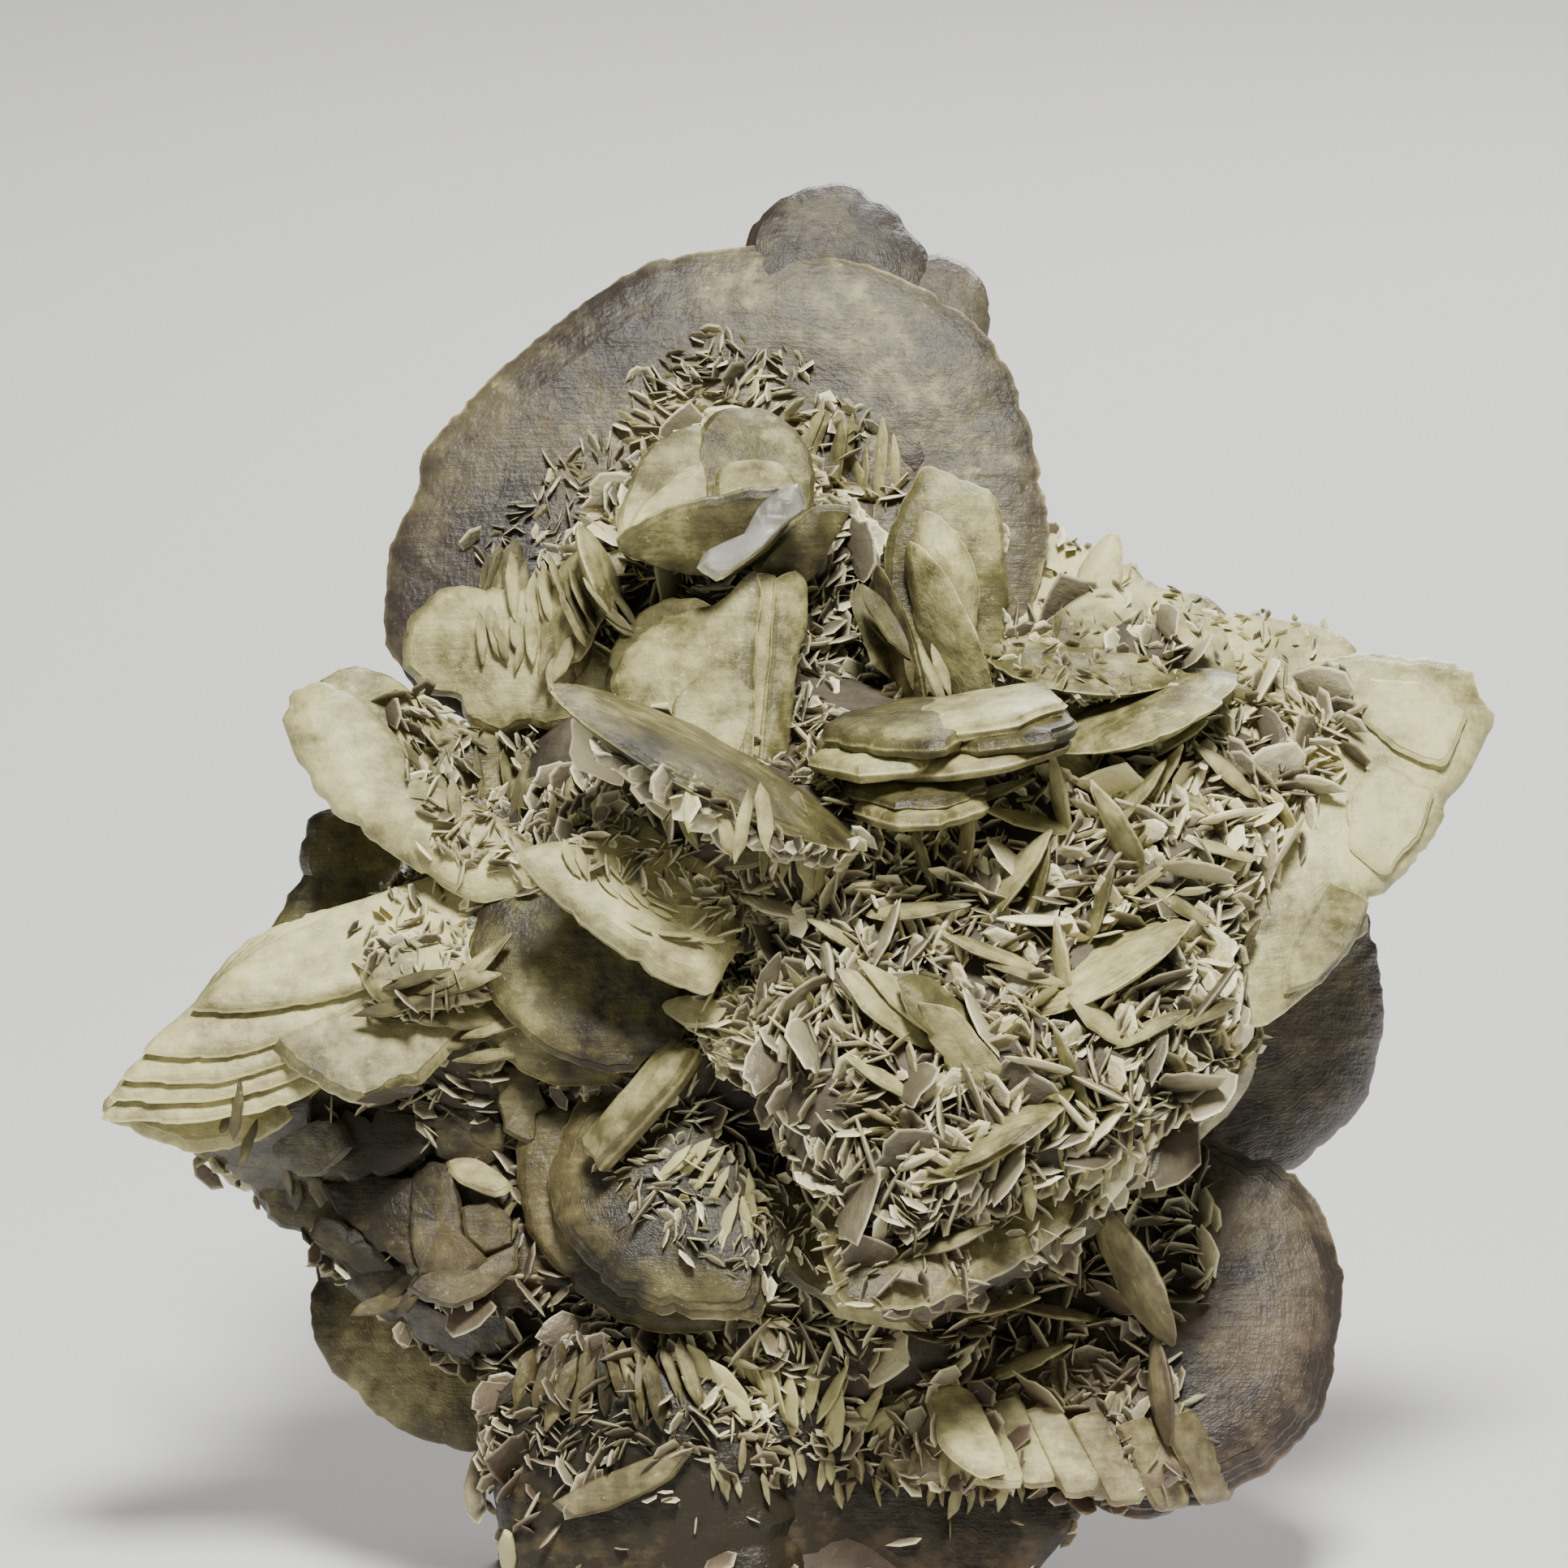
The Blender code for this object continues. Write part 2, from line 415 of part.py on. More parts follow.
def fill_pockets(rosette):
    """Makes the mass solid all through: the shells of the pockets sealed between crystals are taken out."""
    graph = bpy.context.evaluated_depsgraph_get()
    mesh = bpy.data.meshes.new_from_object(rosette.core.evaluated_get(graph))
    rosette.core.modifiers.clear()
    rosette.core.data = mesh
    work = bmesh.new()
    work.from_mesh(mesh)
    pockets, seen = [], set()
    for first in work.faces:
        if first in seen:
            continue
        shell, front = [], [first]
        seen.add(first)
        while front:
            face = front.pop()
            shell.append(face)
            for neighbour in {other for edge in face.edges for other in edge.link_faces} - seen:
                seen.add(neighbour)
                front.append(neighbour)
        if sum(face.calc_center_median().dot(face.normal) * face.calc_area() for face in shell) < 0:
            pockets += shell
    bmesh.ops.delete(work, geom=pockets, context="FACES")
    work.to_mesh(mesh)
    work.free()


def gypsum(core):
    """Pale translucent gypsum."""
    material = bpy.data.materials.new("gypsum")
    material.use_nodes = True
    shader = material.node_tree.nodes["Principled BSDF"]
    shader.inputs["Base Color"].default_value = GYPSUM_COLOUR
    shader.inputs["Roughness"].default_value = GYPSUM_ROUGHNESS
    shader.inputs["Metallic"].default_value = 0.0
    core.data.materials.append(material)


def build():
    rosette = Rosette()
    rosette.core = rosette.lump("crystal_rosette", (0, 5, 73), (42, 26, 42), rosette.parts)
    rosette.lump("upper_mass", (-7, 8, 119), (22, 14, 20))
    rosette.lump("chest_mass", (-1, -11, 88), (30, 16, 14))
    rosette.lump("left_mass", (-36, 2, 66), (19, 14, 22))
    rosette.lump("lower_mass", (2, 0, 38), (32, 20, 24))
    crown(rosette)
    upper_cluster(rosette)
    right_tower(rosette)
    right_ridge(rosette)
    right_wing(rosette)
    left_side(rosette)
    front_blades(rosette)
    lower_middle(rosette)
    lower_right(rosette)
    base(rosette)
    back_petals(rosette)
    druze(rosette)
    fuse(rosette)
    fill_pockets(rosette)
    gypsum(rosette.core)


build()
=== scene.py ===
import json
import math
import random

import bmesh
import bpy
import numpy as np
from mathutils import Matrix, Vector, noise
from mathutils.bvhtree import BVHTree

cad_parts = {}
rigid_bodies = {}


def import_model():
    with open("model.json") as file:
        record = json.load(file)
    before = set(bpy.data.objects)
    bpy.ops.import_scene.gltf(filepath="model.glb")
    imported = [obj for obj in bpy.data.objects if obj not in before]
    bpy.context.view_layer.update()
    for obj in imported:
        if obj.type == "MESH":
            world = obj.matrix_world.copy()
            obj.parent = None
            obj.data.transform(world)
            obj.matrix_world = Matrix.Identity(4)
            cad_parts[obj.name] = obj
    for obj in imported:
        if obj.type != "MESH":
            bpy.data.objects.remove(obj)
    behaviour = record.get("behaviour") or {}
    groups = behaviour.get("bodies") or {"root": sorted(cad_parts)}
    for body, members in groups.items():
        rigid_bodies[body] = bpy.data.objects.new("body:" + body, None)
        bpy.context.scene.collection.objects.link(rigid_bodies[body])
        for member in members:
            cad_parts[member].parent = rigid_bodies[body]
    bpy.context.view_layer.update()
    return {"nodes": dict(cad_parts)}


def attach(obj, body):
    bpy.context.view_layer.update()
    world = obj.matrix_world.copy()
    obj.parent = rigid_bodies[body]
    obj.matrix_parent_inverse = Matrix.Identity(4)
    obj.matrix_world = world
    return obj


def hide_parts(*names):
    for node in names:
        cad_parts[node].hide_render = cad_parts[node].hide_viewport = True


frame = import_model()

# Everything is laid out on the rosette's face, in millimetres: x to the right, y away from the viewer, z up.

face = {
    "leanBack": 15.0,                 # degrees
    "shift": (1.9, -7.2, 6.0),        # the face's zero point, measured from the middle of the base cut
}
faceToRow = (Matrix.Translation(Vector(face["shift"]) * 0.001)
             @ Matrix.Rotation(-math.radians(face["leanBack"]), 4, "X") @ Matrix.Scale(0.001, 4))
rowToFace = faceToRow.inverted()
toRow = np.array(faceToRow)


# Small tools.

def inRow(points):
    points = np.asarray(points, float)
    return points @ toRow[:3, :3].T + toRow[:3, 3]


def wander(points, size, seed, waves=8):
    # a smooth random field from about -1 to 1, with bumps of about this size
    chance = np.random.default_rng(seed)
    points = np.atleast_2d(points)
    ways = chance.normal(size=(waves, points.shape[1]))
    ways /= np.linalg.norm(ways, axis=1)[:, None]
    ways *= 2 * math.pi / size * chance.uniform(0.35, 0.75, (waves, 1))
    starts = chance.uniform(0, 2 * math.pi, waves)
    return np.sin(points @ ways.T + starts).sum(axis=1) / math.sqrt(waves) * 0.8


def closedCurve(corners, count, tight=0.4):
    # evenly spaced points on the closed curve through the corners, straighter where it is tight
    here = np.array(corners, float)
    before, after, later = np.roll(here, 1, 0), np.roll(here, -1, 0), np.roll(here, -2, 0)
    t = np.linspace(0, 1, 16, endpoint=False)[None, :, None]
    a, b, c, d = before[:, None], here[:, None], after[:, None], later[:, None]
    fine = 2 * b + (c - a) * t + (2 * a - 5 * b + 4 * c - d) * t ** 2 + (3 * b - a - 3 * c + d) * t ** 3
    fine = 0.5 * fine
    fine = (fine * (1 - tight) + (b + (c - b) * t) * tight).reshape(-1, 2)
    fine = np.vstack([fine, fine[:1]])
    walked = np.concatenate([[0], np.cumsum(np.linalg.norm(np.diff(fine, axis=0), axis=1))])
    wanted = np.linspace(0, walked[-1], count, endpoint=False)
    return np.column_stack([np.interp(wanted, walked, fine[:, k]) for k in (0, 1)])


def lensCurve(length, width, count, pointed=1.25):
    turn = np.linspace(0, 2 * math.pi, count, endpoint=False)
    bulge = np.sign(np.sin(turn)) * np.abs(np.sin(turn)) ** pointed
    return np.column_stack([np.cos(turn) * length / 2, bulge * width / 2])


# How one blade grows: rings of points from its rim in to its middle, on both sides.

growth = {
    "rimStep": 0.95,         # spacing of the points along a rim
    "fewest": 20,            # points along a rim
    "most": 260,
    "ringStep": 3.2,         # spacing of the rings from rim to middle
    "chip": 1.5,             # depth of the nicks in a rim
    "ragged": 0.16,          # how finely ragged a rim is
    "ledgeWidth": 0.005,     # width of a growth ledge, as a share of the blade's radius
    "waves": (0.14, 0.05),   # height of the broad and the fine waves on a face
    "thinnest": 0.04,        # half the thickness that a face never goes below
}


def growBlade(centre, u, v, rim, thick, seed, ledges=(0.9,), ledgeHigh=0.16, chip=1.0, sharp=9.0, tone=0.5):
    centre, u, v = (np.array(way, float) for way in (centre, u, v))
    normal = np.cross(u, v)
    normal /= np.linalg.norm(normal)
    count = len(rim)
    size = np.linalg.norm(rim, axis=1)
    outward = rim / size[:, None]
    nicks = np.clip(wander(rim, 6.0, seed) - 0.62, 0, 1)
    nicks += 0.5 * np.clip(wander(rim, 2.4, seed + 1) - 0.45, 0, 1)
    worn = growth["chip"] * nicks + growth["ragged"] * (1 + np.random.default_rng(seed).uniform(-1, 1, count))
    rim = rim - outward * (worn * chip * min(1, size.mean() / 12))[:, None]
    swirl = wander(outward * 10, 9.0, seed + 3)
    share = np.clip(0.55 + wander(outward * 10, 10.0, seed + 4), 0, 1.2)
    rings = int(min(14, max(2, size.mean() / growth["ringStep"])))
    radii = {0.985, 0.955} if size.mean() > 5 else {0.96}
    radii |= {0.93 - 0.88 * (k / rings) ** 1.1 for k in range(rings)}
    for ledge in ledges:
        radii |= {ledge * (1 + growth["ledgeWidth"]), ledge * (1 - growth["ledgeWidth"])}
    radii = sorted((r for r in radii if r > 0.03), reverse=True)
    broad, small = growth["waves"]
    points, reaches, flats = [centre + rim[:, :1] * u + rim[:, 1:] * v], [np.ones(count)], [rim]
    faces = []
    total = count
    for side in (1, -1):
        inner = np.arange(count)
        for r in radii:
            flat = rim * (r * (1 + 0.07 * (1 - r) * swirl))[:, None]
            high = thick / 2 * (1 - r ** sharp) ** 0.75 * np.ones(count)
            for ledge in ledges:
                high += ledgeHigh * share * (0.5 if r < ledge else -0.5) * min(1, (1 - r) * 25)
            waves = broad * wander(flat, 9.0, seed + 6 + side) + small * wander(flat, 4, seed + 9)
            high = np.maximum(high + waves * min(1, thick / 3), growth["thinnest"])
            points.append(centre + flat[:, :1] * u + flat[:, 1:] * v + side * high[:, None] * normal)
            reaches.append(np.full(count, r))
            flats.append(flat)
            outer = np.arange(total, total + count)
            total += count
            quads = np.column_stack([inner, np.roll(inner, -1), np.roll(outer, -1), outer])
            faces.append(quads if side == 1 else quads[:, ::-1])
            inner = outer
        points.append(points[-1].mean(axis=0)[None])
        reaches.append(np.zeros(1))
        flats.append(np.zeros((1, 2)))
        tips = np.column_stack([inner, np.roll(inner, -1), np.full(count, total)])
        total += 1
        faces.append(tips if side == 1 else tips[:, ::-1])
    flats = np.vstack(flats) + [seed * 3.1, seed * 1.7]
    marks = np.column_stack([flats, np.concatenate(reaches), np.full(total, tone)])
    return np.vstack(points), [tuple(int(i) for i in f) for block in faces for f in block], marks


heartSwell = 5   # how far a lump's surface swells


class Cluster:
    # gathers blades, by the piece of the rosette that they belong to
    def __init__(self):
        self.pieces = {}
        self.seed = 100

    def add(self, piece, name, made, crust):
        points, faces, marks = made
        blade = {"name": name, "points": points, "faces": faces, "marks": marks, "crust": crust}
        self.pieces.setdefault(piece, []).append(blade)

    def rimCount(self, length):
        return int(min(growth["most"], max(growth["fewest"], length / growth["rimStep"])))

    def plate(self, piece, name, depth, slope, thick, outline, crust=0.0, tight=0.4, **finish):
        self.seed += 20
        middle = np.mean(np.array(outline, float), axis=0)
        length = sum(math.dist(a, b) for a, b in zip(outline, outline[1:] + outline[:1]))
        rim = closedCurve(outline, self.rimCount(length), tight) - middle
        centre = (middle[0], depth, middle[1])
        made = growBlade(centre, (1, slope[0], 0), (0, slope[1], 1), rim, thick, self.seed, **finish)
        self.add(piece, name, made, crust)

    def lens(self, piece, name, centre, along, facing, size, crust=0.0, corners=None, **finish):
        self.seed += 20
        length, width, thick = size
        along = Vector(along).normalized()
        across = Vector(facing).cross(along).normalized()
        finish.setdefault("ledges", (0.9, 0.8) if length > 20 else ())
        finish.setdefault("sharp", 3.0)
        rim = lensCurve(length, width, self.rimCount(2.4 * length))
        if corners:
            rim = closedCurve(corners, self.rimCount(1.8 * length), 0.92) * (length, width)
        self.add(piece, name, growBlade(centre, along, across, rim, thick, self.seed, **finish), crust)

    def lump(self, piece, name, centre, radii, crust=1.0):
        ball = bmesh.new()
        bmesh.ops.create_icosphere(ball, subdivisions=5, radius=1)
        unit = np.array([vertex.co for vertex in ball.verts])
        faces = [tuple(vertex.index for vertex in f.verts) for f in ball.faces]
        ball.free()
        points = unit * np.array(radii) + np.array(centre)
        swell = np.array([noise.noise(Vector(p) * 0.06) for p in points]) * heartSwell - 0.8
        rough = 0.8 * wander(points, 7.0, 5) + 0.5 * wander(points, 3.0, 6)
        points = points + unit * (swell + rough)[:, None]
        plain = np.zeros(len(points))
        marks = np.column_stack([points[:, 0], points[:, 2], plain, plain + 0.3])
        self.add(piece, name, (points, faces, marks), crust)


cluster = Cluster()


# The crown: the big upright disc, and the small disc and its lobe behind it.

cluster.plate("crownBlades", "crown", 14, (-0.06, 0.20), 6.0, [
    (-38, 102.8), (-45, 107.6), (-49.4, 113.6), (-49.6, 119), (-49.0, 126), (-45.4, 133.5), (-44.9, 138),
    (-36.8, 146.9), (-26.8, 155.2), (-16.6, 161.6), (-3, 163.6), (9.5, 161.5), (18.6, 157.6), (25.4, 152.4),
    (29.0, 145.9), (31.6, 137), (32.9, 126), (28, 112), (13, 103), (-7, 99), (-28, 100)],
    ledges=(0.95, 0.8), ledgeHigh=0.08, tone=-0.2, sharp=4.5)
cluster.plate("crownBlades", "crownRear", 22.1, (0.10, 0.45), 5.0, [
    (-5, 163.4), (-3.8, 166.6), (1, 170.4), (7.9, 171.5), (14, 168), (18.2, 163), (19, 155), (8, 154.5),
    (-5.5, 156)], ledges=(0.9,), tone=-0.6, sharp=4.5)
cluster.plate("crownBlades", "crownRearLobe", 19, (0.15, 0.45), 4.5, [
    (15, 161), (19, 162.8), (22.4, 161.7), (25.2, 158.4), (25.7, 153), (24, 142), (16, 134), (9, 142),
    (10, 155)], tone=-0.4, sharp=4.5)


# The nest: the little rosette of blades in front of the crown.

cluster.plate("nestBlades", "nestDark", -4, (0.2, 0.4), 4.0, [
    (-11, 139.5), (-8.1, 142.7), (-2.9, 143), (0.6, 141.2), (3, 138), (4.6, 134), (1, 124), (-9, 124),
    (-13, 133)], tone=-0.1)
cluster.plate("nestBlades", "nestBright", -9, (0.15, 0.45), 2.6, [
    (-20.6, 128), (-18.8, 134.3), (-15.7, 138.8), (-9.9, 141), (-9.7, 135.7), (-10.8, 130), (-14, 124),
    (-19, 124)], tone=0.35)
cluster.plate("nestBlades", "nestBrightLow", -12, (0.25, 0.4), 2.0, [
    (-19.4, 127.6), (-17.6, 131), (-12.4, 135.2), (-9.6, 136.4), (-9.2, 131.5), (-11, 127), (-16, 125.6)],
    tone=0.6, tight=0.7)
cluster.plate("nestBlades", "nestInner", -10, (0.2, 0.4), 2.2, [
    (-8.6, 131.8), (-8.3, 135.4), (-4.6, 136.5), (0, 135.9), (1.8, 132.8), (-2, 128), (-7, 128)], tone=0.4)
cluster.plate("nestBlades", "nestLedge", -14, (0.06, -0.55), 3.4, [
    (-21.3, 126.6), (-17, 129.2), (-12, 131.2), (-6, 132.6), (-0.6, 132.9), (1.6, 130), (-2, 125),
    (-7, 121.8), (-14, 122.6), (-19.4, 124.6)], tone=-0.15)
cluster.plate("nestBlades", "nestShadow", -9, (0.5, -0.3), 2.6, [
    (-4, 123), (0, 127.5), (4, 131), (8.2, 130.8), (6.8, 127), (3.5, 122), (-1, 119)], tone=-0.2, tight=0.7)
cluster.plate("nestGlass", "nestClear", -19, (0.1, 0.25), 3.2, [
    (-10.8, 122.9), (-9.9, 124.7), (-5.8, 125.9), (-2.9, 131), (-0.6, 132.8), (2.0, 133.4), (3.2, 130.5),
    (0, 127.6), (-2.9, 124.7), (-8.1, 121.2)], tone=0.55, tight=0.9, chip=1.6)
cluster.plate("nestBlades", "fanRear", -11, (-0.4, 0.25), 3.0, [
    (-21.6, 111), (-20, 115.4), (-15.7, 119.2), (-10.4, 119.4), (-6, 116), (-8, 102), (-18, 102)], tone=0.1)
cluster.plate("nestBlades", "fanLeft", -16, (-0.45, 0.30), 2.6, [
    (-21.6, 109.4), (-19.7, 113.1), (-14.5, 117.4), (-8.1, 118.9), (-5.6, 121), (-3.5, 122.9), (-2.6, 120),
    (-3.4, 112), (-4, 98), (-14, 96), (-20, 102)], tone=0.32, tight=0.6)
cluster.plate("nestBlades", "fanInner", -20, (-0.3, 0.3), 2.4, [
    (-14, 106), (-11, 109.4), (-7.6, 111.4), (-4, 109.6), (-3.4, 104), (-6, 98), (-13, 98)], tone=0.35)
cluster.plate("nestBlades", "fanMiddle", -15.5, (0.7, 0.2), 2.0, [
    (-3.9, 122.7), (-0.9, 122.3), (-1.0, 117.7), (-1.8, 109.6), (-3, 98), (-6, 98), (-4.6, 110.8),
    (-4.2, 117.7)], tone=0.5, tight=0.85)
cluster.plate("nestBlades", "fanRight", -14.5, (0.9, 0.2), 2.0, [
    (-1.0, 121.8), (1.2, 123.0), (2.7, 121.8), (2.7, 117), (1.2, 110.2), (0, 98), (-3, 98), (-2, 110)],
    tone=0.15, tight=0.85)
cluster.lens("nestBlades", "nestLeftFin", (-22.5, -5, 122), (0.35, -0.2, -0.92), (0.8, -0.2, 0.2),
             (15, 13, 3), tone=0.2)
cluster.lens("nestBlades", "nestLeftWing", (-26, 0, 118), (0.4, -0.2, 0.9), (-0.7, -0.55, 0.3),
             (18, 14, 3.5), tone=0.25)
cluster.plate("nestBlades", "crownHook", 5, (-0.2, 0.1), 3.5, [
    (-47.2, 111), (-46.5, 117), (-42, 121), (-34, 121), (-20, 122), (-20, 106), (-34, 102), (-41, 105.2)],
    tone=0.2)


# The tower and the ridge that runs down from it to the right wing.

cluster.plate("ridgeBlades", "tower", -1, (0.15, 0.1), 3.6, [
    (12.4, 126.6), (13.9, 130.5), (16.9, 135.8), (18.2, 135.9), (25.5, 133), (27.1, 129.9), (27.6, 124),
    (28, 116), (24, 98), (14, 98), (12, 116)], tone=0.02, tight=0.8)
cluster.lens("ridgeBlades", "towerArch", (19.6, -5, 121.5), (0.25, 0.05, -0.97), (-0.35, -0.9, 0.25),
             (18, 9, 6), tone=0.55)
cluster.lens("ridgeBlades", "towerSpear", (20.4, -6, 114), (0.36, 0.1, -0.92), (-0.75, -0.5, 0.1),
             (27, 12, 3.6), tone=0.35, ledges=())
cluster.lens("ridgeBlades", "towerThorn", (14.2, -8, 113), (0.24, 0.1, -0.95), (-0.9, -0.3, 0), (22, 12, 3),
             tone=0.1, ledges=())
cluster.plate("ridgeBlades", "ridgeBack", 11, (0.1, 0.5), 4.5, [
    (30, 128), (36.8, 126.4), (43, 123.8), (47, 120.6), (52.8, 119.8), (55.5, 116), (54, 106), (42, 100),
    (22, 100), (24, 118)], tone=0.4)
cluster.plate("ridgeBlades", "ridgeEnd", 5, (0.15, 0.45), 4.5, [
    (50, 116), (56, 117.8), (63, 117.2), (69.9, 114.6), (71.2, 112), (69.5, 105), (60, 97), (48, 100),
    (46, 110)], tone=0.55)
cluster.plate("ridgeBlades", "ridgeFront", -5, (0.25, 0.6), 4.0, [
    (33, 117), (38, 120.6), (43, 120.2), (46.5, 115.5), (47, 108), (40, 104), (32, 106)], tone=0.4)
cluster.plate("ridgeBlades", "ridgeStep", -3, (0.35, 0.6), 4.0, [
    (45, 117), (50, 118.8), (54.5, 115), (56, 108), (50, 102), (43, 105)], tone=0.4)
cluster.lens("ridgeBlades", "ridgeSpike", (37.6, 3, 118.5), (0.34, 0, 0.92), (-0.5, -0.85, 0), (20, 7, 5),
             tone=0.7)
cluster.lens("ridgeBlades", "ridgeLedge", (37.5, -7, 111.5), (1, 0.05, -0.06), (-0.05, -0.35, 0.9),
             (26, 22, 4.2), tone=0.35)
cluster.lens("ridgeBlades", "ridgeRail", (43.5, -12, 105.5), (0.93, 0.1, 0.34), (-0.25, -0.35, 0.9),
             (26, 22, 4.0), tone=0.35)


# The right wing, the crusted bed on it and the rim below.

cluster.plate("wingRight", "wingRight", -4, (0.20, 0.38), 5.5, [
    (66, 112), (71, 112.9), (78, 112.6), (85.2, 111), (88, 104.6), (83.8, 96.5), (80, 89.8), (75, 83.8),
    (71.6, 81.2), (71.8, 78.6), (65.8, 72.0), (58, 66.2), (45, 66), (34, 78), (36, 95), (50, 107)],
    ledges=(0.95,), ledgeHigh=0.1, tone=0.68, sharp=4.5, tight=0.8)
cluster.plate("bedRight", "bedRight", -16, (0.12, 0.60), 17.0, [
    (4, 90), (14, 88), (25, 94), (37, 101), (50, 104.5), (60, 101.5), (64, 96.5), (61.5, 89.5), (56, 80.5),
    (53.6, 71.5), (53.6, 62), (45.5, 54), (30, 47), (14, 42), (2, 50), (-4, 64), (-2, 80)], crust=1.0)
cluster.plate("wingRight", "rimRight", -19, (0.16, 0.85), 4.5, [
    (50, 74), (58.8, 67), (58.2, 62.6), (56, 59.0), (50, 53.9), (42, 48.0), (29, 38.3), (17, 33.0), (7, 33.6),
    (4, 46), (16, 62), (36, 72)], crust=0.35, tone=0.15)
cluster.plate("wingRight", "rimUnder", -12, (0.2, 0.5), 5.0, [
    (54, 58), (49.5, 51.5), (42, 45.4), (30, 37.4), (16, 31.8), (8, 36), (18, 52), (36, 64)], crust=0.3,
    tone=0.1)
ledgeStacks = [   # name, middle, run, face, length, width and thickness of one layer, layers, tone
    ("ledgeUpper", (23.6, -26, 102.6), (0.985, 0.04, 0.17), (0, -0.20, 0.98), (28, 26, 3.2), 3, 0.05),
    ("ledgeUpperLeft", (12.6, -25, 101.8), (0.99, 0, 0.10), (-0.1, -0.26, 0.96), (20, 25, 3.6), 2, 0.15),
    ("ledgeLower", (17.4, -26, 95.2), (0.99, 0, 0.05), (0, -0.24, 0.97), (18.5, 25, 3.0), 2, 0.0)]
for name, middle, run, upward, size, layers, tone in ledgeStacks:
    chance = random.Random(name)
    for layer in range(layers):
        rise = (layer - (layers - 1) / 2) * size[2] * 0.72
        shift = Vector((chance.uniform(-1.2, 1.2), chance.uniform(-1.0, 1.6), rise))
        narrower = 1 - 0.09 * abs(layer - (layers - 1) / 2) - chance.uniform(0, 0.05)
        turned = Vector(run) + Vector((0, chance.uniform(-0.08, 0.08), chance.uniform(-0.03, 0.03)))
        front = chance.uniform(-0.25, 0.05)
        cluster.lens("wingRight", f"{name}{layer}", Vector(middle) + shift, turned, upward,
                     (size[0] * narrower, size[1] * narrower, size[2]), tone=tone + (0.05, -0.5, 0.25)[layer],
                     corners=[(-0.5, -0.08), (front, -0.44), (front + 0.35, -0.5), (0.5, -0.22), (0.42, 0.4),
                              (0.1, 0.5), (-0.36, 0.34)], ledges=(0.96,), ledgeHigh=0.3, chip=1.1, sharp=9.0)
cluster.lens("wingRight", "spar", (22, -36, 53.6), (0.90, -0.02, 0.43), (-0.3, -0.42, 0.86), (30, 19, 3.2),
             tone=0.45)
cluster.lens("wingRight", "sparUpper", (38.4, -28, 74), (0.88, 0, 0.46), (-0.3, -0.42, 0.86), (25, 14, 2.8),
             tone=0.4)


# The left side: the bright blade, the stepped wing and the plates between them.

cluster.plate("bladesLeft", "bladeLeft", -8, (-0.12, 0.40), 5.0, [
    (-61.8, 104.6), (-60.4, 108.2), (-56.3, 109.4), (-52, 107), (-47.5, 102.5), (-43.5, 96.5), (-34, 92),
    (-26, 84), (-38, 82), (-50.5, 89.4), (-56.4, 93.8), (-60.2, 100)], ledges=(0.92,), ledgeHigh=0.1,
    tone=0.7, sharp=5.0)
cluster.plate("bladesLeft", "bladeLeftRear", 3, (0.15, 0.2), 4.0, [
    (-57.9, 108.6), (-54.5, 111), (-51.3, 111.6), (-46.5, 108.6), (-42, 105), (-28, 99), (-26, 88), (-47, 92),
    (-56, 99)], tone=0.15)
for step, (reach, foot) in enumerate([(-72.8, 69.0), (-78.6, 63.6), (-81.2, 60.4), (-82.8, 58.0),
                                      (-83.8, 55.4)]):
    cluster.plate("bladesLeft", f"wingLeftStep{step}", -12 + 1.7 * step, (-0.12, 0.70), 2.6, [
        (reach, foot), (reach + 4.6, foot + 4.6), (-62.5 - step, 77.4), (-50, 83), (-40, 86), (-32, 89),
        (-27, 84), (-40, 76), (-54 - step, 70.5 - 3 * step), (-66 - step * 1.5, foot - 0.4)],
        ledges=(), chip=0.6, sharp=14.0, tone=0.85)
cluster.plate("bladesLeft", "wingLeftTip", -4, (-0.1, 0.55), 4.0, [
    (-83.8, 57.4), (-82.8, 55), (-72.4, 51.2), (-62, 54), (-52, 66), (-66, 71), (-78, 64)], tone=0.6)
cluster.plate("bladesLeft", "stepKnuckle", -15, (0.05, 0.55), 4.0, [
    (-63.4, 64.6), (-61.4, 68.4), (-54, 70.4), (-44, 74), (-38, 68), (-44, 60), (-51.5, 57.2), (-58, 60.0)],
    tone=0.3)
cluster.plate("bladesLeft", "stepKnuckleUpper", -15, (0.1, 0.6), 4.0, [
    (-52, 74), (-46, 77.5), (-39, 80), (-30, 80), (-32, 71.5), (-44, 68.6), (-50, 70)], crust=0.5, tone=0.55)
cluster.plate("bladesLeft", "farLeft", 10, (0.1, 0.1), 5.0, [
    (-59, 92.2), (-55.5, 93.8), (-46, 92), (-30, 88), (-30, 70), (-52, 70), (-64.2, 76), (-61.8, 82)],
    tone=-0.1)


# The blades that stand out of the middle towards the viewer.

cluster.lens("frontBlades", "tongue", (-9.6, -31, 98.6), (0.89, 0.05, -0.46), (0.42, -0.20, 0.88),
             (43.5, 34, 4.6), ledges=(0.95, 0.9), ledgeHigh=0.3, sharp=3.2, tone=-0.4)
cluster.plate("frontBlades", "tongueFin", -33, (-0.5, 0.35), 1.8, [
    (-7.4, 86.0), (-3.6, 90.6), (1.9, 96.0), (2.8, 93.4), (3.6, 90.6), (-0.6, 88), (-4, 86.2)],
    tone=-0.1, tight=0.9)
cluster.plate("frontBlades", "lip", -30, (0.36, 0.60), 4.5, [
    (-32.8, 88.2), (-27, 90), (-18, 93), (-8, 90), (-5.4, 78.6), (-6.2, 75.2), (-8.8, 71.0), (-13, 72.0),
    (-18.5, 75.0), (-24, 79), (-30, 84.6)], ledges=(0.93, 0.8), tone=0.7)
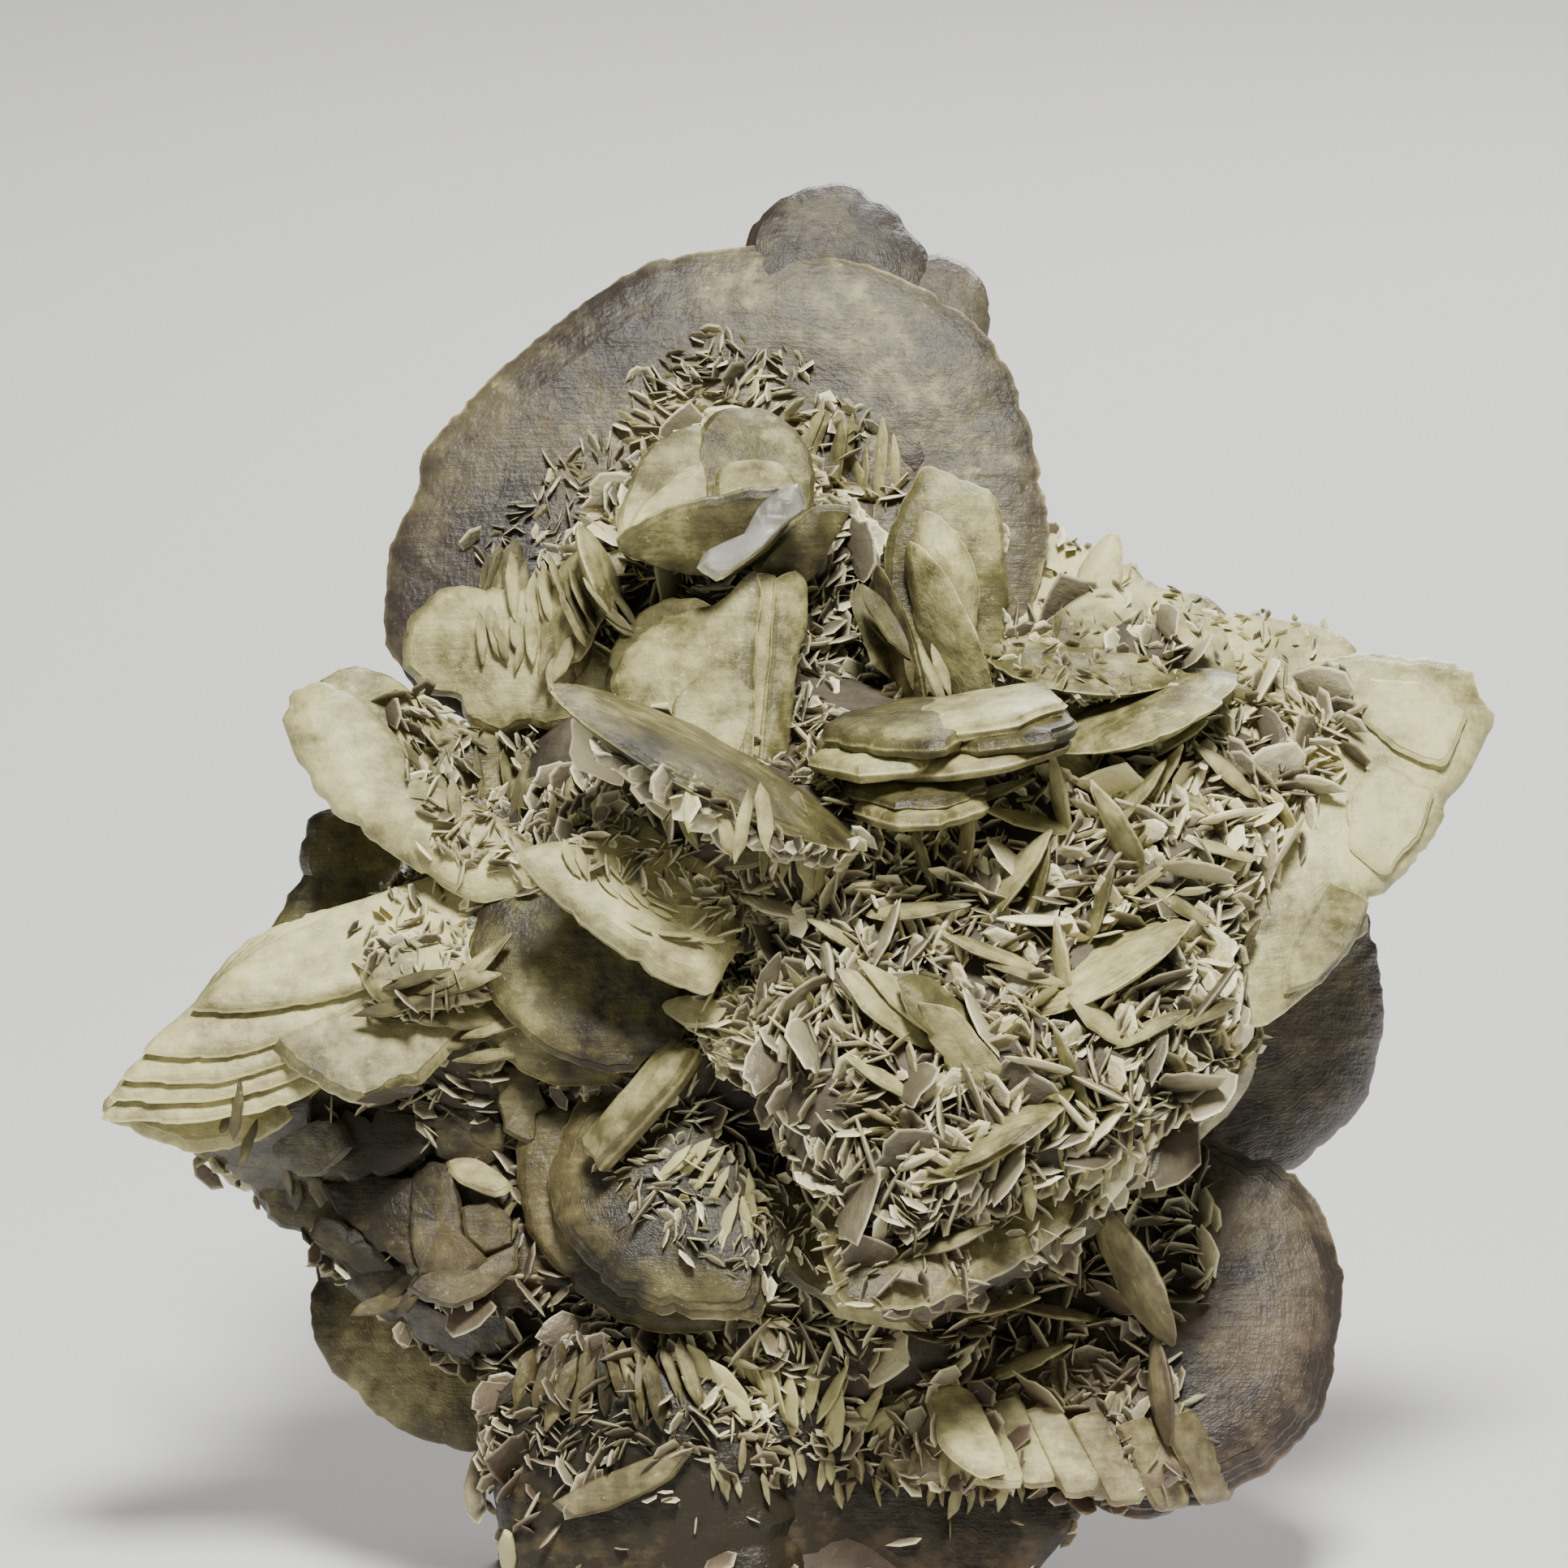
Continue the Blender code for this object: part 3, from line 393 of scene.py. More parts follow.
cluster.plate("frontBlades", "apron", -19, (-0.15, 0.30), 4.0, [
    (-39.2, 75.2), (-36.6, 71.3), (-33.5, 67.4), (-29.4, 64), (-24.4, 61.9), (-17.5, 61), (-12, 66),
    (-12, 80), (-22, 88), (-35.5, 84)], ledges=(0.93,), tone=-0.4, sharp=5.0)
cluster.plate("frontBlades", "apronUnder", -14, (-0.1, 0.2), 4.0, [
    (-40, 70), (-37, 65), (-30, 60), (-24, 59.4), (-18, 61), (-16, 74), (-32, 80)], tone=-0.1)
cluster.plate("frontBlades", "chipCream", -25, (0.2, 0.5), 6.0, [
    (-9, 70), (0, 74), (6, 70), (7, 62), (1, 60), (-8, 62.5)], crust=0.6, tone=0.8)


# The arc-edged keel low in the middle, and the shelves and hems left of it.

cluster.plate("lowerBlades", "keel", -20, (-0.16, 0.32), 5.5, [
    (-29.0, 50), (-28.2, 43.4), (-24.9, 38.7), (-20.4, 34.1), (-15, 31.5), (-8.6, 31.1), (-3, 31.4),
    (-1.4, 35), (-1, 44), (-6, 54), (-16, 60), (-25, 58)], ledges=(0.93, 0.86), ledgeHigh=0.35,
    tone=-0.45, sharp=5.0)
cluster.plate("lowerBlades", "keelUnder", -14, (-0.1, 0.2), 4.0, [
    (-33, 52), (-31.7, 42), (-26, 34.7), (-20, 30.7), (-14, 29.2), (-6, 30.6), (-6, 46), (-18, 56),
    (-30, 58)], tone=-0.4)
cluster.lens("lowerBlades", "keelPrism", (-17.6, -23, 57.4), (0.65, -0.05, 0.76), (-0.5, -0.7, 0.5),
             (20, 5.6, 5), corners=[(-0.5, -0.4), (-0.42, 0.5), (0.46, 0.5), (0.5, -0.3), (0.3, -0.5)],
             sharp=9.0, ledges=(), tone=0.1)
cluster.plate("lowerBlades", "shardRight", -20, (0.4, 0.4), 3.0, [
    (-4, 50), (4, 46), (10, 39), (17.4, 31), (9, 31), (-2, 38)], tone=0.0)
# shelfLeft's dark tone is painted shade under the left wing
cluster.plate("lowerBlades", "shelfLeft", -8, (-0.12, 0.22), 4.5, [
    (-46.2, 48), (-44, 50.6), (-37, 52), (-24, 50), (-24, 34), (-34, 32), (-40, 32.2), (-46, 33.8),
    (-46.6, 40)], crust=0.4, tone=-0.6)
cluster.plate("lowerBlades", "shelfDark", -3, (0, -0.1), 5.0, [
    (-64.6, 60), (-63, 54), (-59.6, 48.8), (-52, 47.2), (-38, 48), (-34, 60), (-44, 68), (-60, 65)],
    crust=0.5, tone=-0.4)
cluster.plate("lowerBlades", "hemLeft", 4, (-0.1, -0.1), 7.0, [
    (-73.4, 51.6), (-69, 49.0), (-66.4, 47.2), (-64, 43.0), (-60.6, 41), (-52, 38), (-38, 40), (-34, 54),
    (-48, 64), (-66, 60)], crust=0.6, tone=-0.4)
cluster.plate("lowerBlades", "hemLower", -1, (-0.1, 0.05), 8.0, [
    (-58.4, 42), (-54, 34.5), (-46, 28), (-36, 24), (-20, 28), (-20, 46), (-36, 54), (-52, 52)], crust=0.7,
    tone=-0.4)
cluster.plate("lowerBlades", "petalLeftLow", 10, (-0.1, 0.12), 5.0, [
    (-57.1, 40), (-58.9, 33), (-58, 27.2), (-54.4, 21.6), (-48.5, 17.2), (-41.2, 14.2), (-33, 14), (-18, 18),
    (-16, 40), (-34, 50), (-49, 47)], tone=0.02, sharp=4.5)


# The two discs low on the right, and the thin blades across them.

# petalRightDark's dark tone is painted shade: the disc lies in shadow behind the wing.
cluster.plate("lowerRightBlades", "petalRightDark", 14, (0.22, -0.1), 5.5, [
    (56, 86), (68, 84), (72.6, 81), (73.8, 75), (74.6, 68), (74.1, 61.5), (71.5, 56), (66.5, 51.2),
    (62.6, 48.4), (44, 44), (28, 56), (32, 78)], ledges=(0.93,), tone=-0.55, sharp=4.5)
cluster.plate("lowerRightBlades", "petalRightLow", -1, (0.10, 0.28), 6.0, [
    (50, 53.4), (58, 51.6), (63.4, 48.4), (66.8, 43.7), (69.2, 36), (68, 25), (66, 18.4), (59.6, 11.8),
    (51, 7.8), (43, 6.0), (35.4, 9.0), (27, 11.6), (16, 14), (12, 32), (24, 50)], ledges=(0.95, 0.9, 0.84),
    ledgeHigh=0.4, tone=-0.5, sharp=4.5, tight=0.6)
cluster.plate("lowerRightBlades", "petalRightLowFront", -8, (0.1, 0.45), 5.0, [
    (52, 14), (44, 8.6), (36, 9.0), (28, 11.8), (20, 15), (20, 27), (34, 30), (48, 24)], crust=0.4, tone=0.4)
cluster.lens("lowerRightBlades", "bladeDiagonal", (43, -16, 36.4), (0.46, 0.12, -0.88), (-0.80, -0.40, -0.2),
             (20, 12, 2.8), tone=0.6)
cluster.lens("lowerRightBlades", "bladeDiagonalLow", (46.3, -12, 22), (0.1, 0.15, -0.99), (-0.9, -0.3, 0),
             (14, 8, 2.4), tone=0.3)
cluster.plate("lowerRightBlades", "elbow", -14, (-0.2, 0.45), 6.0, [
    (8, 22), (14, 24), (22, 22), (27, 16), (28, 11), (21, 10.8), (13, 12)], crust=0.4, tone=0.75)


# The foot: the stout blades that the rosette stands on, run on past the base cut.

# Painted shade: the foot blades' dark tones stand for the shade low under the rosette.
cluster.plate("footBlades", "footLeft", -8, (-0.25, -0.10), 18.0, [
    (-35.6, 21), (-35.2, 8), (-33.6, 0), (-31, -8), (-29, -34), (0, -36), (4, 0), (-4, 24), (-22, 30)],
    crust=0.25, tone=-0.85)
cluster.plate("footBlades", "footRight", -3, (0.22, -0.10), 18.0, [
    (-8, 22), (-8, -36), (14, -38), (24, -14), (30.4, -1), (37, 8.5), (30, 18), (10, 26)], crust=0.25,
    tone=-0.9)
cluster.plate("footBlades", "footRear", 24, (0.05, -0.15), 26.0, [
    (-34, 34), (-36, 6), (-30, -26), (26, -26), (32, 6), (30, 32), (0, 44)], crust=0.15, tone=-0.3, sharp=1.6)
for number, x in enumerate((-22, -10, 3, 15, 25)):
    odd, third = number % 2, number % 3
    cluster.lens("backBlades", f"footBlade{number}", (x, 27 - abs(x) * 0.16, 19 + 3 * odd),
                 (x * 0.012, 0.12, -1), (0.9, 0.30 - 0.15 * third, 0.1), (30 - 4 * odd, 13, 3.2),
                 sharp=5.0, tone=-0.1 + 0.15 * third)


# The back: broad petals that radiate from the middle.

backPetals = {"count": 9, "firstAngle": 16, "sweep": 148, "rises": (-26, 28, 2), "size": (56, 46, 5.5)}
for number in range(backPetals["count"]):
    share = (number + 0.5) / backPetals["count"]
    around = math.radians(backPetals["firstAngle"] + backPetals["sweep"] * share)
    rise = math.radians(backPetals["rises"][number % 3])
    outward = Vector((math.cos(around), math.sin(around), math.tan(rise))).normalized()
    facing = outward.cross(Vector((0, 0, 1))).normalized()
    facing.rotate(Matrix.Rotation(math.radians(35 + 55 * number), 3, outward))
    middle = Vector((0, 8, 74)) + outward * (29 + 3 * (number % 2))
    length, width, thick = backPetals["size"]
    size = (length, width - 3 * (number % 3), thick)
    cluster.lens("backBlades", f"backPetal{number}", middle, outward, facing, size, sharp=7.0,
                 ledges=(0.93, 0.85), crust=0.12, tone=0.3 + 0.1 * (number % 4))


# The heart: the rough masses that all the blades grow out of.

cluster.lump("heart", "coreMass", (0, 2, 73), (42, 23, 41))
cluster.lump("heart", "upperMass", (-7, 8, 119), (22, 14, 20))
cluster.lump("heart", "chestMass", (-1, -11, 88), (30, 16, 14))
cluster.lump("heart", "leftMass", (-36, 2, 66), (19, 14, 22))
cluster.lump("heart", "lowerMass", (2, 0, 38), (32, 20, 24))
cluster.lump("heart", "ridgeMass", (42, 1, 104), (20, 11, 12))
cluster.lump("heart", "footMass", (-1, 8, 4), (31, 26, 34), crust=0.4)

# Where a big blade is creamier or clearer than the rest of it, and painted shade in the deep hollow low in
# the middle: x, z, spread, change.

cloudAndShadeSpots = {
    "crown": [(2, 150, 15, 0.28), (18, 145, 10, 0.15), (-14, 132, 12, 0.35), (-41, 120, 13, -0.25),
              (-34, 141, 8, -0.20), (29, 128, 8, -0.35), (-20, 157, 7, -0.15), (6, 160, 6, 0.2)],
    "crownRear": [(3, 168, 5, 0.25), (14, 165, 5, -0.2)], "crownRearLobe": [(22, 158, 4, 0.3)],
    "wingRight": [(65, 73, 7, -0.35), (75, 88, 5, -0.25), (70, 110, 6, -0.2)],
    "bladeLeft": [(-50, 98, 6, -0.2)], "keel": [(-17, 45, 8, -0.40), (-10, 33, 6, 0.30), (-26, 44, 4, 0.15)],
    "petalRightLow": [(58, 42, 8, 0.35), (50, 20, 9, 0.10), (64, 24, 6, -0.2)],
    "apron": [(-34, 70, 5, 0.25), (-24, 66, 7, -0.35)], "fanLeft": [(-15, 112, 5, 0.20), (-6, 106, 7, -0.35)],
    # the mass entries at (-2.6, 56) are painted shade in the deep hollow
    "coreMass": [(-2.6, 56.2, 7, -1.3)], "lowerMass": [(-2.6, 56.2, 7, -1.3)],
    "chestMass": [(-2.6, 58, 7, -1.3)], "tongue": [(-24, 104, 6, 0.25), (2, 93, 8, 0.2)],
    "petalLeftLow": [(-50, 24, 8, 0.25), (-56, 36, 5, -0.2)],
}
for blades in cluster.pieces.values():
    for blade in blades:
        for x, z, spread, change in cloudAndShadeSpots.get(blade["name"], ()):
            away = (blade["points"][:, 0] - x) ** 2 + (blade["points"][:, 2] - z) ** 2
            blade["marks"][:, 3] += change * np.exp(-away / spread ** 2)
print("blades grown:", sum(len(blades) for blades in cluster.pieces.values()))


# The middling blades, seated on what the viewer sees of the big ones.

def joinedSurface(chosen):
    points, faces, owners, marks, start = [], [], [], [], 0
    for blade in chosen:
        points.append(blade["points"])
        marks.append(blade["marks"])
        faces += [tuple(start + i for i in f) for f in blade["faces"]]
        owners += [blade] * len(blade["faces"])
        start += len(blade["points"])
    return np.vstack(points), faces, owners, np.vstack(marks)


bigBlades = [blade for blades in cluster.pieces.values() for blade in blades]
frontPoints, frontFaces, _, _ = joinedSurface(bigBlades)
frontTree = BVHTree.FromPolygons([Vector(p) for p in frontPoints], frontFaces)


def seat(x, z):
    hit, normal, _, _ = frontTree.ray_cast(Vector((x, -150, z)), Vector((0, 1, 0)))
    return hit, normal if normal.y < 0 else -normal


def seated(name, outline, thick, lift=0.5, tilt=(0, 0), **finish):
    # a plate laid on the surface behind its outline, this far proud of it
    inside = [(x * 0.75 + 0.25 * sum(p[0] for p in outline) / len(outline),
               z * 0.75 + 0.25 * sum(p[1] for p in outline) / len(outline)) for x, z in outline]
    hits = [(x, z, seat(x, z)[0].y) for x, z in inside]
    places, depths = np.array([(x, z, 1) for x, z, _ in hits]), np.array([y for _, _, y in hits])
    fit = np.linalg.lstsq(places, depths, rcond=None)[0]
    slope = [float(np.clip(fit[k], -0.9, 0.9)) + tilt[k] for k in (0, 1)]
    cluster.plate("seatedPlates", name, float(np.median(depths)) - lift, slope, thick, outline, **finish)


spearHead = {"thick": 0.085, "sharp": 7.0, "chip": 1.6}   # thickness by the length, how blunt, how worn


def standing(piece, name, x, z, turn, length, width, tone, proud=0.16, lean=-0.5):
    # a blade on edge, its length at this angle on the face
    # its outline is a spear head with six corners, no two alike
    hit, normal = seat(x, z)
    chance = random.Random(name)
    corners = [(-0.5, chance.uniform(-0.1, 0.1)), (-0.3 + chance.uniform(-0.1, 0.1), 0.42),
               (chance.uniform(0, 0.25), 0.5), (0.5, chance.uniform(-0.1, 0.1)),
               (chance.uniform(0.1, 0.3), -0.45), (chance.uniform(-0.35, -0.1), -0.5)]
    angle = math.radians(turn)
    along = Vector((math.cos(angle), -0.2, math.sin(angle)))
    facing = Vector((-math.sin(angle), lean, abs(math.cos(angle)) + 0.2))
    size = (length, length * width, length * spearHead["thick"])
    cluster.lens(piece, name, hit + normal * length * proud, along, facing, size, corners=corners, tone=tone,
                 sharp=spearHead["sharp"], ledges=(), chip=spearHead["chip"])


bedBlades = [   # x, z, angle, length
    (15.5, 80, 5, 15), (28, 84, 52, 16), (30.6, 83, 75, 13), (33.5, 93, 100, 16), (41, 89, 118, 16),
    (43, 94, 50, 13), (46, 96, 60, 12), (26, 94, 20, 12), (30, 91, 165, 13), (33.5, 74, 95, 12),
    (29.6, 72.4, 166, 12), (25, 75, 160, 13), (48, 81, 150, 10), (12, 68, 140, 17), (14.6, 69, 139, 17),
    (19.4, 66.4, 137, 19), (21, 63, 128, 16), (7, 77, 150, 11), (54, 97, 140, 11), (53, 88, 165, 10),
    (44, 66, 25, 12), (35, 60, 110, 13), (26, 52, 30, 12), (50, 68, 20, 11), (24, 33, 10, 13),
    (33, 31, 172, 13), (20, 40, 20, 12), (30, 25, 20, 12), (38, 80, 70, 13), (44, 84, 35, 11),
    (22, 88, 80, 11), (17, 86, 110, 10), (60, 93, 120, 9), (56, 76, 60, 9), (38, 67, 140, 11),
    (12, 60, 150, 12), (3, 70, 120, 10), (48, 101, 30, 10), (35, 98, 130, 11)]
for number, (x, z, turn, length) in enumerate(bedBlades):
    width, tone = 0.36 + 0.08 * math.sin(number * 1.7), 0.35 + 0.25 * math.sin(number * 2.4)
    standing("bedBlades", f"bedBlade{number}", x, z, turn, length, width, tone)

# paleFan's high tone is painted light on the foot, which the bed above shades; footSpears' low tone is
# painted shade.
sheaves = [   # name, first and last middle on the face, count, angle at each end, length, tone
    ("crownSheaf", (-37, 123), (-20, 117), 18, (-110, -45), 8.0, 0.10),
    ("crownSheafLow", (-38, 115), (-24, 111), 12, (-70, -115), 6.5, 0.05),
    ("pageFan", (3.5, 139), (14, 134), 10, (80, 100), 10, 0.55),
    ("thorns", (11, 118), (19, 110), 6, (-60, -75), 11, 0.3),
    ("tongueFringe", (-19, 96), (4, 88), 13, (-70, -100), 10, 0.35),
    ("brow", (-46, 97), (-26, 94), 10, (-60, -110), 8, 0.35),
    ("laminaeLeft", (-47, 71), (-37, 74), 6, (10, 35), 11, 0.1),
    ("lipCrumbs", (-26, 87.5), (-9, 77), 16, (-80, 10), 4.5, 0.85),
    ("keelFringe", (-14, 50), (-4, 44), 8, (40, 100), 7, 0.8),
    ("footFringe", (-30, 24), (-12, 22), 10, (-110, -60), 9, -0.3),
    ("hem", (-9, 12.8), (30, 10.4), 34, (-80, -98), 4.6, 0.55),
    ("paleFan", (-10, 23), (12, 20), 20, (140, 40), 8, 1.2),
    ("footSpears", (-33, 22), (-8, 26), 16, (-125, -60), 8, -0.25),
    ("stack", (-45, 67), (-34, 66), 7, (170, 195), 11, -0.05),
    ("hollowFlakes", (-50, 58), (-34, 54), 12, (200, 150), 9, -0.45),
    ("hemFlakes", (-68, 56), (-56, 44), 9, (60, 120), 8, -0.35),
    ("shelfFlakes", (-48, 33), (-33, 44), 10, (30, 70), 8, -0.25),
    ("rimFringe", (24, 44), (54, 60), 16, (100, 60), 6, 0.6)]
for name, first, last, count, turns, length, tone in sheaves:
    chance = random.Random(name)
    for number in range(count):
        share = number / (count - 1)
        x = first[0] + (last[0] - first[0]) * share + chance.uniform(-1.2, 1.2)
        z = first[1] + (last[1] - first[1]) * share + chance.uniform(-2.4, 2.4)
        turn = turns[0] + (turns[1] - turns[0]) * share + chance.uniform(-16, 16)
        longer, width = chance.uniform(0.75, 1.2), chance.uniform(0.20, 0.36)
        proud, lean = chance.uniform(0.02, 0.18), chance.uniform(-2.2, -0.4)
        standing("sheafBlades", f"{name}{number}", x, z, turn, length * longer, width,
                 tone + chance.uniform(-0.2, 0.25), proud, lean)

# Painted shade: the plates low on the left are given dark tones, 0.15 darker again where they are made, for
# the shadow of the left wing above them.
lowerLeftPlates = [   # name, outline on the face, thickness, lift, tilt, tone
    ("underWing", [(-71.6, 51.2), (-69.1, 54.7), (-64.6, 58.2), (-58.1, 58.2), (-57.1, 50.2), (-57.1, 43.2),
                   (-60.6, 41.2), (-64.1, 43.7), (-67.1, 47.7)], 2.2, 0.8, (0, -0.1), -0.60),
    ("brownLowest", [(-58.6, 41.2), (-56.6, 38.7), (-52.1, 36.2), (-46.6, 36.7), (-49.6, 40.2), (-54.6, 43.2),
                     (-57.1, 43.7)], 2.2, 1.0, (0, -0.1), -0.62),
    ("darkBelow", [(-57.1, 47.7), (-55.6, 44.2), (-53.1, 41.7), (-48.6, 38.2), (-44.6, 36.7), (-43.6, 43.2),
                   (-44.6, 48.2), (-49.6, 49.2)], 2.0, 1.8, (0.1, 0.1), -0.45),
    ("longDark", [(-57.1, 49.2), (-53.6, 47.7), (-48.6, 48.2), (-44.6, 50.2), (-42.6, 52.2), (-44.6, 56.2),
                  (-50.6, 57.6), (-54.6, 57.2)], 2.0, 2.4, (0, 0.25), -0.45),
    ("sidePale", [(-63.6, 53.2), (-61.6, 54.7), (-54.6, 56.2), (-52.6, 52.2), (-56.6, 48.2), (-59.6, 48.2),
                  (-62.6, 50.2)], 1.8, 2.0, (-0.1, 0.25), -0.2),
    ("hollowPlate", [(-44, 56.5), (-38.5, 57.5), (-33.5, 55), (-34, 50.5), (-38.5, 48.6), (-43, 51)],
     1.8, 0.8, (0.1, 0.2), -0.42),
    ("hollowPlateRight", [(-36, 62.5), (-31, 62), (-28.6, 57), (-30.6, 52), (-34.5, 54)],
     1.8, 0.8, (0.2, 0.1), -0.40),
    ("shelfPlate", [(-45.8, 48.2), (-43.6, 50.6), (-40.4, 49.7), (-39.4, 45), (-39.0, 41.2), (-36.0, 38.2),
                    (-38.6, 35.7), (-44.6, 35.7), (-46.2, 41.2)], 2.0, 2.2, (-0.15, 0.1), -0.5),
    ("shelfInner", [(-39.6, 44.6), (-36, 46.2), (-33.2, 44.2), (-33.2, 40), (-36.6, 38.8), (-39.2, 41)],
     1.6, 2.6, (0.3, 0), -0.4),
    ("shelfFan", [(-46.4, 34.7), (-44.6, 36.6), (-39.6, 37.2), (-35.6, 38.8), (-32.1, 40.4), (-32.6, 37.2),
                  (-36.6, 33.7), (-40.1, 32.3), (-43.6, 33)], 1.8, 3.2, (0, 0.35), -0.38),
    ("lowShelf", [(-50, 35), (-45, 33.6), (-40, 31), (-36, 31.6), (-32, 34), (-32, 28), (-38, 25.4),
                  (-45, 28)], 2.0, 1.2, (0, 0.2), -0.6)]
for name, outline, thick, lift, tilt, tone in lowerLeftPlates:
    seated(name, outline, thick, lift, tilt, tone=tone - 0.15, tight=0.9, chip=2.2)

seated("rimFlank", [(11.4, 33.2), (14.4, 37.2), (23.4, 40.2), (36.4, 46.2), (41.4, 46.7), (40.4, 43.2),
                    (33.4, 38.7), (23.4, 34.2), (16.4, 30.7), (11.9, 31.2)],
       1.8, 2.6, (0, -0.15), tone=-0.25, tight=0.9)
seated("wingFacetTop", [(72, 109.6), (79, 109.2), (84.6, 105.6), (81.4, 98.4), (75, 100.6), (71, 104.4)],
       1.3, 0.5, tone=0.74, tight=0.85)
seated("wingFacetMiddle", [(73, 99.6), (80.2, 96), (78.4, 90.2), (74.2, 84.8), (69.4, 88.4), (69, 95)],
       1.3, 0.5, tone=0.6, tight=0.85)
seated("wingFacetLow", [(67, 84.6), (72.0, 82.4), (69.8, 77), (64.6, 71.8), (61.0, 70.8), (62.0, 77)],
       1.3, 0.6, tone=0.56, tight=0.85)
seated("rimWedge", [(41.4, 49.2), (45.4, 54.2), (53.4, 60.2), (57.9, 64.2), (57.9, 61.2), (54.4, 56.2),
                   (47.4, 50.2)], 1.8, 2.2, tone=0.2, tight=0.9)
seated("shelfEdge", [(-41.6, 50.2), (-38, 50.6), (-33.2, 47.4), (-35, 46), (-40, 47.8)],
       1.2, 3.0, (0, 0.6), tone=0.3)
seated("lipFoot", [(-15.4, 69.4), (-11.6, 70.8), (-6.8, 69.8), (-8.6, 67.2), (-12, 67)],
       1.6, 3.2, (0, 0.5), tone=0.6)
seated("shardLow", [(3.4, 35.4), (8, 36.6), (12.4, 33.6), (17.6, 29.8), (12, 30.4), (6, 31.6)],
       1.6, 2.0, (0.2, 0.3), tone=0.4, tight=0.85)
seated("elbowCream", [(17.2, 21.8), (20, 23.4), (23.4, 21.6), (25.8, 17), (27.6, 12.6), (23.6, 12),
                      (19, 15.6)], 2.2, 1.8, (-0.2, 0.2), tone=0.9)
seated("elbowCreamLow", [(22.4, 19), (25.6, 19.4), (28.4, 14), (29.4, 10.4), (25, 10.8), (22, 14)],
       2.0, 2.6, (-0.1, 0.2), tone=0.75)
seated("longTooth", [(-28.4, 8.6), (-24, 11.4), (-15, 15), (-11, 15.6), (-13, 12), (-20, 8.2), (-26, 6.8)],
       2.2, 2.2, (0, 0.2), tone=0.1, tight=0.8)
seated("cornerChip", [(-34.9, 3.6), (-34.2, 5.4), (-33.2, 4.4), (-32.6, 0.4), (-34.4, 0.4)],
       1.2, 0.6, tone=1.2)
for number, (x, z) in enumerate([(29, 16.8), (34, 15.6), (39.4, 14.6), (45, 13.8), (50.6, 14.6)]):
    seated(f"bandStep{number}", [(x - 4.6, z + 4.2), (x - 0.6, z + 5.4), (x + 5.0, z - 4.2),
                                 (x + 4.4, z - 6.2), (x + 0.6, z - 6.6), (x - 1.6, z - 2.4)],
           1.6, 1.6 - 0.15 * number, (0.12, 0.1), tone=0.6 - 0.06 * number, tight=0.85)
seatedPieces = ("bedBlades", "sheafBlades", "seatedPlates")
print("seated blades:", sum(len(cluster.pieces[piece]) for piece in seatedPieces))


# The crust's bed: the solid's own surface, drawn on to the blades, with how thickly each spot is overgrown.

